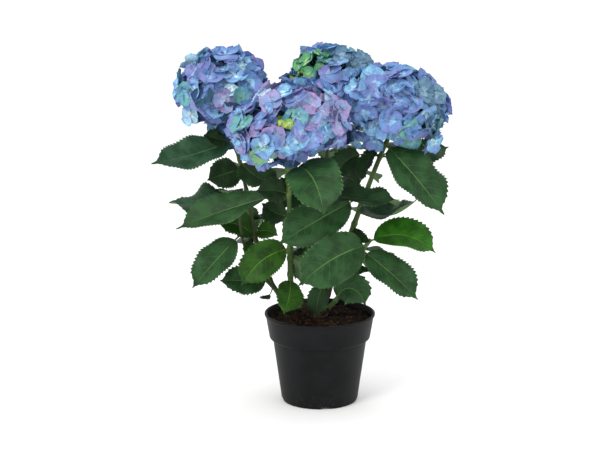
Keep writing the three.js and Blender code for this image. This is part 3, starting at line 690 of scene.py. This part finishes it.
def green_parts(stem):
    """The stem, and a stalk for each of its leaves that widens to its joint and sinks into the
    midrib by its reach, a share of the blade."""
    start, end, first, last, radii = STEMS[stem]
    path = bend(start, end, first, last, 110)
    joints = sorted({leaf.at for leaf in leaves[stem]})
    places = [np.interp(at, path[:, 2], distance(path)) for at in joints]
    bodies = [tube(path, np.linspace(*radii, len(path)), 20, relief=joint_relief(places))]
    for leaf in leaves[stem]:
        line = leaf_line(stem, leaf)
        s = np.linspace(0, 1, 16)
        share = np.linspace(0, leaf_share(leaf, STALK_REACH), len(s))
        radius = (1.75 - 0.85 * s + 1.3 * np.exp(-s * 9)) * (0.6 + 0.4 * leaf.blade / 110)
        bodies.append(tube(pick(line[0], share), radius, STALK_FACES, up=(0, 0, 1), relief=groove))
    return bodies


for shoot, (dull, clear) in STEM_TONES.items():
    skin = Finish(f"{shoot} skin".replace("_", " "), clear, 0.5, shine=0.3)
    spots = skin.noise(700, 2, stretch=(1, 1, 0.5)).step(0.66, 0.72)
    blush = skin.noise(45, 3, stretch=(1, 1, 0.4))
    green = skin.mix(blush.step(0.35, 0.65), dull, clear)
    skin.paint(skin.mix(spots * 0.5, green, "#3a2620"), 0.42 + 0.2 * blush)
    skin.relief(skin.noise(420, 3, stretch=(1, 1, 0.15)) + spots * 0.8, 0.35, 0.5)
    grown = green_parts(shoot) + (green_parts("low_left") if shoot == "shoot_left" else [])
    stems = put(f"{shoot}_stems", *join(grown), [skin])
    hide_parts(shoot)


# The leaf blades: broad, toothed and pointed, folded a little along a pale midrib, with the
# skin raised between paired side veins that curve up to the edge, and paler underneath.
VEIN_PAIRS = 9
# Share of its length by which the edges of a blade wave, and the leaves that differ from it, by
# stem and height of the joint.
WAVE = 0.036
WAVES = {("shoot_left", 364): 0.12, ("shoot_low_right", 287): 0.008, ("shoot_left", 214): 0.06}
# The deep tint, the darkest green, is partly a leaf's own darker green and partly painted shade for the
# listed leaves that lie in shade; the rule's leaves take it by turns.
LEAF_TINTS = {
    "deep": ("#142713", "#1e3a1c", "#4c6f3c"), "mid": ("#1d3a1e", "#2b4f2b", "#6c9150"),
    "blue": ("#223e2a", "#33543d", "#63875a"), "fresh": ("#1a390e", "#295114", "#6f9a42"),
    "bright": ("#1f4e0d", "#2f6d16", "#7fb048"),
}
UNDERSIDE = ("#44603c", "#567449", "#86a06a")
# Places of the grid's columns across a blade, as shares of its half width.
HALF_COLUMNS = np.array([0.06, 0.16, 0.3, 0.46, 0.64, 0.8, 0.93, 1])
COLUMNS = np.concatenate([-HALF_COLUMNS[::-1], [0], HALF_COLUMNS])


def vein_place(across, along):
    """Place among the side veins, one to each pair: they leave the midrib and curve to the tip."""
    return (along - 0.22 * across - 0.09 * across * across * across) * VEIN_PAIRS


def blade_surface(stem, leaf, chance):
    """Upper and lower skin of a blade on a grid of places along it and across it: the side
    direction times half the width, and the face direction times fold, waves and veins. Every
    second row ends in a tooth, and the outline is fuller before a drawn-out tip."""
    rows = 2 * round(leaf.blade / 6) + 1
    t = np.linspace(0.004, 0.999, rows)
    tooth = np.arange(rows) % 2
    T, U = np.meshgrid(t, COLUMNS, indexing="ij")
    edge = np.abs(U) == 1
    T = np.minimum(T + edge * tooth[:, None] * 0.9 / rows, 0.9995)
    full = 1 + 0.11 * np.exp(-((T - 0.73) / 0.13) ** 2) - 0.72 * np.clip((T - 0.83) / 0.09, 0, 1) ** 1.2
    half = leaf.blade * leaf.share / 2 * blade_shape(T) * full + 0.2
    bite = np.minimum(1, half / 9) * np.minimum(1, 0.3 + 1.2 * T) * (T < 0.95)
    half = half + edge * (tooth[:, None] * 4 - 1.7) * bite
    middle, side, face = blade_frame(leaf_line(stem, leaf), leaf, T)
    A = np.abs(U)
    place = vein_place(A, T) + np.where(U > 0, 0.2, 0)
    quilt = np.abs(np.cos(np.pi * (place % 1))) ** 0.7 * A ** 0.35 * (1 - A ** 6)
    phase, waves = chance.uniform(0, 2 * np.pi, 2), chance.uniform(1.3, 2.6, 2)
    curl = np.where(U > 0, *(np.sin(2 * np.pi * waves[i] * T + phase[i]) for i in (0, 1)))
    lift = half * (0.44 * np.sqrt(A * A + 0.003) - 0.17 * A * A) + 0.009 * leaf.blade * quilt
    wave = WAVES.get((stem, leaf.at), WAVE) * leaf.blade
    lift = lift + wave * curl * A ** 2.2 * np.sin(np.pi * T) ** 0.5
    top = middle + side * (half * U * 0.965)[..., None] + face * lift[..., None]
    skin = 0.5 * (1 - A ** 8) + 0.9 * np.exp(-(A / 0.07) ** 2) * (1 - T)
    low = top - face * (skin * np.minimum(1, half / 2))[..., None]
    count = rows * len(COLUMNS)
    upper = np.arange(count).reshape(rows, -1)
    under = upper.copy()
    under[1:-1, 1:-1] = count + np.arange((rows - 2) * (len(COLUMNS) - 2)).reshape(rows - 2, -1)
    points = np.concatenate([top.reshape(-1, 3), low[1:-1, 1:-1].reshape(-1, 3)])
    flat = np.stack([0.5 + 0.5 * U, T], -1)
    flat = np.concatenate([flat.reshape(-1, 2), flat[1:-1, 1:-1].reshape(-1, 2)])
    rim = np.zeros((rows, len(COLUMNS)), bool)
    rim[[0, -1]], rim[:, [0, -1]] = True, True
    rim = np.append(rim.ravel(), np.zeros(len(points) - count, bool))
    return points, cells(upper)[:, ::-1], cells(under), flat, rim


def leaf_finish(name, deep, light, vein, roughness, ridge):
    """Leaf skin: mottled green, a fine net of veins, paired side veins and a midrib, all by the
    blade's own unrolled place, with the veins sunk in the upper skin and raised underneath."""
    skin = Finish(name, deep, roughness, shine=0.14)
    flat = skin.node("UVMap", {"uv_map": "flat"})
    x = skin.node("SeparateXYZ", None, {0: flat}, out=0)
    t = skin.node("SeparateXYZ", None, {0: flat}, out=1)
    across = (x - 0.5) * 2
    away = abs(across)
    place = vein_place(away, t) + across.step(-0.001, 0.001) * 0.2
    near = abs(place.rest() - 0.5) * 2
    side_vein = 1 - (near / (0.11 - 0.06 * away)).step(0.1, 1.0)
    midrib = 1 - (away / (0.046 - 0.028 * t)).step(0.3, 1.0)
    cell = skin.node("TexVoronoi", {"feature": "DISTANCE_TO_EDGE"},
                     {"Vector": skin.node("TexCoord", out=3), "Scale": 300.0})
    net = 1 - cell.step(0.0, 0.12)
    mottle = skin.noise(48, 4)
    colour = skin.mix(mottle.step(0.35, 0.66), deep, light)
    colour = skin.mix(net * 0.06, colour, vein)
    colour = skin.mix(side_vein * (0.26 - 0.16 * away), colour, vein)
    colour = skin.mix(midrib * (0.8 - 0.55 * t), colour, vein)
    skin.paint(colour, roughness + 0.14 * mottle - 0.05 * net)
    skin.relief((midrib * 0.8 + side_vein * 0.6 + net * 0.25) * ridge + skin.noise(800, 2) * 0.2, 0.5, 0.5)
    return skin


leaf_finishes = {tint: leaf_finish(f"{tint} leaf", *codes, 0.4, -1.0) for tint, codes in LEAF_TINTS.items()}
leaf_finishes["under"] = leaf_finish("leaf underside", *UNDERSIDE, 0.6, 1.0)
tints = list(leaf_finishes)
chance = np.random.default_rng(71)
for shoot in STEM_TONES:
    blades, upper, under, flats, rims, picks, start = [], [], [], [], [], [], 0
    for stem in (shoot, "low_left") if shoot == "shoot_left" else (shoot,):
        for leaf in leaves[stem]:
            points, top, low, flat, rim = blade_surface(stem, leaf, chance)
            blades.append(points)
            upper.append(top + start)
            under.append(low + start)
            flats.append(flat)
            rims.append(rim)
            picks.append(np.full(len(top), tints.index(leaf.tint)))
            start += len(points)
    faces = [np.concatenate([*upper, *under])]
    picks = np.concatenate([*picks, np.full(len(faces[0]) // 2, tints.index("under"))])
    foliage = put(f"{shoot}_leaves", np.concatenate(blades), faces, list(leaf_finishes.values()), picks,
                  np.concatenate(flats), np.concatenate(rims))
    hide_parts(shoot)


# The flower heads: round heads of many four-petalled flowers on thin stalks, their colours
# mixed by chance and by patches, each flower paler at its heart round a small bead, partly its
# own colour and partly a painted highlight. Some patches and a share of the flowers take the
# darkest colours as painted shade.
# The angle from a head's axis at which its flowers end, and the turn from one to the next.
LAST_ANGLE, GOLDEN_ANGLE = math.radians(122), math.pi * (3 - math.sqrt(5))
# Layers of flowers in a head: count, place as a share of the head's half sizes, length of a
# petal in millimetres, and share of the flowers that are in shadow colours.
LAYERS = [(92, 1.0, 24.0, 0.0), (50, 0.97, 12.5, 0.15), (56, 0.8, 22.0, 0.6)]
# Colour of the heart, paler partly as its own colour and partly as a painted highlight, of the
# petal, of its rim, and the one that clouds all three.
FLOWER_TONES = {
    "blue": "#93c2e2 #6891c6 #6786bd #7880bb",
    "sky": "#b9e2ee #80b6d8 #72a2cf #7592ca",
    "violet": "#98b4db #8089c2 #8a7fb8 #6c92c8",
    "mauve": "#aebbdb #9b92c2 #ab8abb #819ec8",
    "teal": "#90c8cb #66a5b2 #5f95b6 #77b09d",
    # The darkest colours in the next row are painted shade, for flowers deep in a head and under it.
    "shaded": "#43658f #34517c #30446c #2c4d57",
    "green": "#b4d2a4 #7fae80 #6fa191 #6799a8",
    "lime": "#d3dc84 #a0bb50 #7fa24c #6fa05e",
    # Pale flowers, near white, are partly the plant's own pale flowers and partly painted highlights.
    "pale": "#d8ecf0 #abd2e0 #93bfda #8fb0d6",
    "slate": "#86a6bd #62829f #55718f #6890a0",
    "moss": "#aed68e #6ab374 #4c955c #5fa088",
}
families = list(FLOWER_TONES)
# Shares of the flower colours in each head, then patches seen from the front: colour, how far
# the flowers there face to the right and up, and reach. The patches of the darkest colours under
# the left head and the slate ones on the right head's right side are painted shade, and the pale
# ones are partly painted highlights.
HEAD_MIX = {
    "left": ({"blue": 0.37, "sky": 0.25, "violet": 0.22, "shaded": 0.03, "teal": 0.07, "pale": 0.06},
             # The two patches of the darkest colours under this head are painted shade, and the pale patch
             # is partly a painted highlight.
             [("shaded", 0.05, -0.85, 0.3), ("shaded", 0.4, -0.8, 0.55), ("pale", -0.26, -0.15, 0.12),
              ("teal", 0.5, 0.05, 0.12), ("mauve", 0.15, -0.1, 0.16)]),
    "front": ({"sky": 0.35, "blue": 0.23, "violet": 0.25, "mauve": 0.11, "teal": 0.02, "pale": 0.04},
              [("mauve", 0.26, 0.69, 0.34), ("mauve", 0.5, 0.5, 0.3), ("mauve", 0.72, 0.15, 0.26),
               ("teal", 0.03, 0.38, 0.13), ("violet", 0.2, 0.0, 0.16), ("lime", -0.18, 0.06, 0.27),
               # The pale patch on the next line is partly a painted highlight.
               ("pale", -0.41, -0.22, 0.1), ("green", 0.27, -0.35, 0.1), ("mauve", -0.8, -0.2, 0.14),
               ("green", -0.4, -0.78, 0.12)]),
    "right": ({"blue": 0.42, "sky": 0.34, "violet": 0.14, "teal": 0.08, "slate": 0.02},
              [("green", -0.5, -0.2, 0.09), ("violet", -0.14, -0.24, 0.18), ("teal", -0.25, 0.43, 0.13),
               # The two slate patches on this head's right side are painted shade.
               ("slate", 0.72, 0.25, 0.4), ("slate", 0.8, -0.3, 0.3)]),
    "back": ({"sky": 0.44, "blue": 0.24, "teal": 0.14, "mauve": 0.06, "violet": 0.08, "pale": 0.04},
             [("teal", -0.25, 0.75, 0.24), ("moss", -0.45, 0.45, 0.38), ("moss", -0.75, 0.25, 0.5),
              ("moss", -0.6, 0.65, 0.4), ("moss", -0.9, -0.1, 0.45), ("lime", -0.7, 0.33, 0.18),
              ("slate", 0.6, 0.6, 0.42)]),
}
# Flowers that hang below the round of a head, by the place of their middles.
LOW_FLOWERS = {
    "left": [(-177, 40, 476), (-162, 40, 464), (-152, 40, 447), (-212, 44, 492), (-221, 40, 490),
             (-199, 40, 495), (-181, 40, 478)],
    "front": [(-98, -135, 447), (-80, -133, 446), (-60, -135, 454), (-34, -133, 464), (-11, -132, 468),
              (-112, -132, 461), (29, -105, 474), (15, -105, 478), (-34, -112, 454), (-49, -112, 450),
              (-123, -105, 457)],
    "right": [(43, -30, 473), (57, -28, 462), (75, -30, 466), (92, -30, 461), (178, -15, 446),
              (192, -12, 455), (153, -15, 455), (30, -35, 463), (53, -35, 476), (70, -35, 472),
              (90, -35, 464), (130, -35, 473), (199, -5, 473)],
    "back": [],
}
LOW_SIZE, LOW_SHADE = 20.0, 0.1
# Where the stalk of a flower starts, as a share of the way from the middle of the head.
FOOT_SHARE = 0.42
petal_finishes, petal_bands = [], {}
for family, codes in FLOWER_TONES.items():
    *tones, cloud_tone = (tone(code) for code in codes.split())
    petal_bands[family] = []
    for band, plain in zip(("heart", "petal", "rim"), tones):
        petal = Finish(f"{family} flower {band}", plain, 0.6, shine=0.2)
        cloud = petal.noise(52, 2).step(0.42, 0.6)
        fleck = petal.noise(190, 4, roughness=0.7)
        shade = petal.mix(petal.noise(110, 3).step(0.3, 0.55), [0.66 * share for share in plain], plain)
        worn = petal.mix(fleck.step(0.52, 0.7) * 0.55, shade, tones[0])
        petal.paint(petal.mix(cloud * 0.7, worn, cloud_tone), 0.5 + 0.25 * petal.noise(500, 2))
        petal.relief(fleck, 1.6, 0.7)
        petal_bands[family].append(len(petal_finishes))
        petal_finishes.append(petal)
bead_finish = Finish("flower bead", "#9db8cc", 0.45)
bead_finish.fill(bead_finish.shader, {"Roughness": 0.35 + 0.3 * bead_finish.noise(900, 2)})
petal_finishes.append(bead_finish)


def head_point(head, angle, turn, share):
    """Point of the head's outline by its angle from the axis and its turn round it, scaled."""
    middle, wide, deep, above, below, _ = HEADS[head]
    axis, across, back = head_axes(head)
    tall = np.where(np.cos(angle) > 0, above, below)
    return (middle + across * (share * wide * np.sin(angle) * np.cos(turn))[:, None]
            + back * (share * deep * np.sin(angle) * np.sin(turn))[:, None]
            + axis * (share * tall * np.cos(angle))[:, None])


def head_normal(head, angle, turn):
    """Outward direction there: the same shares divided by the half sizes."""
    _, wide, deep, above, below, _ = HEADS[head]
    axis, across, back = head_axes(head)
    tall = np.where(np.cos(angle) > 0, above, below)
    return unit(across * (np.sin(angle) * np.cos(turn) / wide)[:, None]
                + back * (np.sin(angle) * np.sin(turn) / deep)[:, None]
                + axis * (np.cos(angle) / tall)[:, None])


def flowers(head, count, share, radius, chance):
    """Flowers spread evenly by the golden angle: their centres a little inside the outline, the
    directions that they face, loosely outwards, the feet of their stalks, their sizes, and the
    outward directions themselves."""
    i = np.arange(count)
    angle = np.arccos(1 - (1 - math.cos(LAST_ANGLE)) * (i + 0.5) / count)
    angle = angle + chance.uniform(-0.06, 0.06, count)
    turn = GOLDEN_ANGLE * i + chance.uniform(-0.12, 0.12, count)
    normal = head_normal(head, angle, turn)
    centre = head_point(head, angle, turn, np.full(count, share))
    centre = centre - normal * chance.uniform(7, 18, count)[:, None]
    foot = head_point(head, angle, turn, np.full(count, FOOT_SHARE))
    loose = chance.normal(0, 0.34, (count, 3))
    facing = unit(normal + loose - normal * (loose * normal).sum(-1, keepdims=True))
    return centre, facing, foot, radius * chance.uniform(0.88, 1.06, count), normal


PETAL_ROWS = 7


def petals(centre, normal, radius, chance):
    """Four petals to a flower on a grid of places out and across: out is the share of its length,
    across the outline's half width, widest near the middle and by chance blunter or more pointed,
    and height a cup, a twist, a ruffle and small random dents."""
    n = len(centre)
    a, b = np.meshgrid(np.linspace(0.03, 1, PETAL_ROWS), np.linspace(-1, 1, PETAL_ROWS), indexing="ij")
    dents = chance.normal(0, 1, (2, n, 4, *a.shape))
    blunt = 0.92 + 0.1 * np.clip(dents[0, :, :, :1, :1], -1.8, 1.8)
    width = 0.6 * a * np.maximum(1 - a, 0.0005) ** blunt * (1 + blunt) ** (1 + blunt) / blunt ** blunt
    width = width * (1 + 0.1 * dents[0] * np.abs(b))
    side = np.cross(np.array([0.0, 0, 1]), normal)
    side = np.where(np.linalg.norm(side, axis=-1, keepdims=True) < 0.1, [[1.0, 0, 0]], side)
    side = unit(side - normal * (side * normal).sum(-1, keepdims=True))
    other = np.cross(normal, side)
    spin = chance.uniform(0, 2 * np.pi, (n, 1)) + np.pi / 2 * np.arange(4) + chance.normal(0, 0.07, (n, 4))
    out = side[:, None] * np.cos(spin)[..., None] + other[:, None] * np.sin(spin)[..., None]
    over = np.cross(normal[:, None], out)
    size = radius[:, None] * chance.uniform(0.9, 1.06, (n, 4))
    cup, phase = chance.normal(0.08, 0.22, (n, 4)), chance.uniform(0, 2 * np.pi, (n, 4))
    twist = chance.normal(0, 0.2, (n, 4))
    layer = np.array([0.035, -0.02, 0.035, -0.02]) + chance.normal(0, 0.01, (n, 4))
    size, cup, phase, twist, layer = (v[..., None, None] for v in (size, cup, phase, twist, layer))
    height = (cup * a * a - 0.06 * np.sin(np.pi * a) * (1 - b * b) + 0.08 * b * b * width
              + layer * a + twist * b * width
              + 0.08 * np.sin(6 * a + phase + 3 * b) * a * np.abs(b) + 0.034 * dents[1] * a)
    reach = a * (1 + 0.04 * dents[1] * a) - 0.08 * np.abs(cup) * a ** 3
    points = (centre[:, None, None, None] + (size * reach)[..., None] * out[:, :, None, None]
              + (size * width * b)[..., None] * over[:, :, None, None]
              + (size * height)[..., None] * normal[:, None, None, None])
    return points.reshape(-1, 3), copies([grid(*a.shape)[:, ::-1]], a.size, 4 * n)


EXCESS_KEPT, FREE_DEPTH = 0.7, 20.0


def drawn_in(head, points):
    """What stands out of the head's outline is drawn in to a share of its excess. Below the free
    depth under the head's middle that fades out over as much again, where flowers hang."""
    middle = HEADS[head].middle
    level = np.sqrt(head_level(head, points))
    share = np.where(level > 1, (1 + (level - 1) * EXCESS_KEPT) / np.maximum(level, 1), 1)
    low = np.clip((middle[2] - FREE_DEPTH - points[:, 2]) / FREE_DEPTH, 0, 1)
    return middle + (points - middle) * (share + (1 - share) * low)[:, None]


VIEW_TILT = math.radians(13.4)


def patch_colours(head, normal, chance):
    """Each flower's colour: drawn by the head's shares, then the last patch whose reach holds its
    outward direction. Right, up and towards the viewer are turned down by the view's tilt."""
    shares, patches = HEAD_MIX[head]
    weight = np.array([shares.get(f, 0) for f in families])
    chosen = chance.choice(len(families), len(normal), p=weight / weight.sum())
    cos, sin = math.cos(VIEW_TILT), math.sin(VIEW_TILT)
    for family, right, up, reach in patches:
        front = math.sqrt(max(0.0, 1 - right * right - up * up))
        aim = np.array([right, -front * cos + up * sin, front * sin + up * cos])
        close = np.linalg.norm(normal - aim, axis=1) < reach * chance.uniform(0.75, 1.2, len(normal))
        chosen = np.where(close, families.index(family), chosen)
    return chosen


# Which finish each face of a petal takes: the heart's, its own or the rim's.
last = PETAL_ROWS - 2
row, column = np.divmod(np.arange((last + 1) ** 2), last + 1)
outer = (column == 0) | (column == last)
heart = (row < 1) | ((row < 2) & ~outer)
rim = (row == last) | (outer & (row > 2))
band = np.where(heart, 0, np.where(rim, 2, 1))
band_table = np.array([petal_bands[f] for f in families])
stalks, bead_points, bead_faces = [], *ball()
for seed, head in enumerate(HEADS, 11):
    chance = np.random.default_rng(seed)
    middle = HEADS[head].middle
    points, faces, picks, start = [], [[], []], [[], []], 0
    for count, share, radius, shade in (*LAYERS, (len(LOW_FLOWERS[head]), None, LOW_SIZE, LOW_SHADE)):
        if share:
            centre, normal, foot, sizes, straight = flowers(head, count, share, radius, chance)
        else:
            centre = np.array(LOW_FLOWERS[head], float).reshape(-1, 3)
            foot = middle + (centre - middle) * FOOT_SHARE
            straight = unit(centre - middle + (0, -55, 0))
            normal, sizes = unit(straight + chance.normal(0, 0.25, (count, 3))), np.full(count, radius)
        chosen = patch_colours(head, straight, chance)
        lime = chosen == families.index("lime")
        # A share of each layer, all but the lime flowers, takes the darkest colours as painted shade.
        chosen = np.where((chance.random(count) < shade) & ~lime, families.index("shaded"), chosen)
        sizes = sizes * np.where(lime, 0.5, np.where(chosen == families.index("moss"), 0.7, 1.0))
        sheet, quads = petals(centre, normal, sizes, chance)
        sheet = drawn_in(head, sheet)
        points.append(sheet)
        faces[0].append(quads[0] + start)
        picks[0].append(band_table[np.repeat(chosen, 4)][:, band].ravel())
        start += len(sheet)
        beads = (bead_points[None] * 1.5 + centre[:, None] + normal[:, None] * 1.3).reshape(-1, 3)
        points.append(beads)
        for i, f in enumerate(copies(bead_faces, len(bead_points), count)):
            faces[i].append(f + start)
            picks[i].append(np.full(len(f), len(petal_finishes) - 1))
        start += len(beads)
        stalks.append((foot, centre))
    bloom = put(f"flower_head_{head}_flowers", np.concatenate(points), [np.concatenate(f) for f in faces],
                petal_finishes, np.concatenate([*picks[0], *picks[1]]), solid=False)
    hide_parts(f"flower_head_{head}")


# The flower stalks: thin pale stalks that branch from the tip of each shoot and carry one
# flower each, seen only in the gaps between the flowers.
RAYS = 14


def thin_stalks(foot, tip, thick):
    """Spindles: a point, two four-sided rings and a point along each line."""
    along = unit(tip - foot)
    side = unit(np.cross(along, [0.3, 0.2, 0.93]))
    above = np.cross(side, along)
    ring = thick * circle(side, above, 4)
    near, far = (foot[:, None] + (tip - foot)[:, None] * share for share in (0.08, 0.94))
    points = np.concatenate([near + ring, far + ring * 0.7, foot[:, None], tip[:, None]], axis=1)
    return points.reshape(-1, 3), copies(capped(2, 4), 10, len(foot))


stalk_skin = Finish("flower stalk", "#8fa58a", 0.6)
stalk_skin.paint(stalk_skin.mix(stalk_skin.noise(60, 2).step(0.4, 0.6), "#7d9a72", "#98a0b8"), 0.6)
bodies = [thin_stalks(foot, tip, 0.75) for foot, tip in stalks]
for head in HEADS:
    stem = f"shoot_{head}"
    tip = np.array(STEMS[stem][1], float)
    angle = np.radians(np.where(np.arange(RAYS) % 2, 48, 88))
    aim = head_point(head, angle, 2 * np.pi * np.arange(RAYS) / RAYS, np.full(RAYS, 0.5))
    bodies.append(thin_stalks(np.repeat(tip[None], RAYS, 0), aim, 1.5))
    inward = HEADS[head].middle - tip
    bodies.append(tube(tip + inward * np.linspace(0, 1, 12)[:, None], np.linspace(3.3, 2, 12), 12))
inner = put("flower_stalks", *join(bodies), [stalk_skin])
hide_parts(*(f"flower_head_{head}" for head in HEADS))


# The studio: a plain white floor and large soft lights, with the camera where the photograph
# was taken from, some four metres away and a little above.
floor_mesh = bpy.data.meshes.new("floor")
floor_mesh.from_pydata([(-30, -30, 0), (30, -30, 0), (30, 30, 0), (-30, 30, 0)], [], [(0, 1, 2, 3)])
floor = placed("floor", floor_mesh)
floor_mesh.materials.append(Finish("white floor", (0.95, 0.95, 0.95), 0.9).material)

bpy.context.scene.view_settings.view_transform = "Standard"
world = bpy.data.worlds.new("soft sky")
world.use_nodes = True
sky = world.node_tree.nodes["Background"].inputs
sky["Color"].default_value = (1.0, 1.0, 1.0, 1.0)
sky["Strength"].default_value = 1.06
bpy.context.scene.world = world


def soft_light(name, place, aim, size, power, colour=(1, 1, 1)):
    """A square lamp that faces the point it lights."""
    lamp = bpy.data.lights.new(name, "AREA")
    lamp.size, lamp.energy, lamp.color = size, power, colour
    holder = placed(name, lamp)
    holder.location = place
    gap = np.array(aim, float) - np.array(place, float)
    holder.rotation_euler = (math.atan2(math.hypot(gap[0], gap[1]), -gap[2]), 0, math.atan2(-gap[0], gap[1]))


soft_light("key", (-1.5, -2.2, 2.4), (0, 0, 0.35), 1.2, 44, (1, 0.99, 0.97))
soft_light("fill", (2.2, -1.8, 1.4), (0, 0, 0.3), 1.6, 10)
soft_light("top", (0.2, 1.2, 2.6), (0, 0, 0.4), 1.4, 16)

CAMERA_X, CAMERA_FAR, CAMERA_HIGH, AIM_HIGH = -0.034, 4.0, 1.262, 0.309
camera = placed("camera", bpy.data.cameras.new("camera"))
camera.data.lens, camera.data.sensor_width = 144.8, 36.0
camera.location = (CAMERA_X, -CAMERA_FAR, CAMERA_HIGH)
camera.rotation_euler = (math.atan2(CAMERA_FAR, CAMERA_HIGH - AIM_HIGH), 0, 0)
bpy.context.scene.camera = camera

bpy.context.view_layer.update()
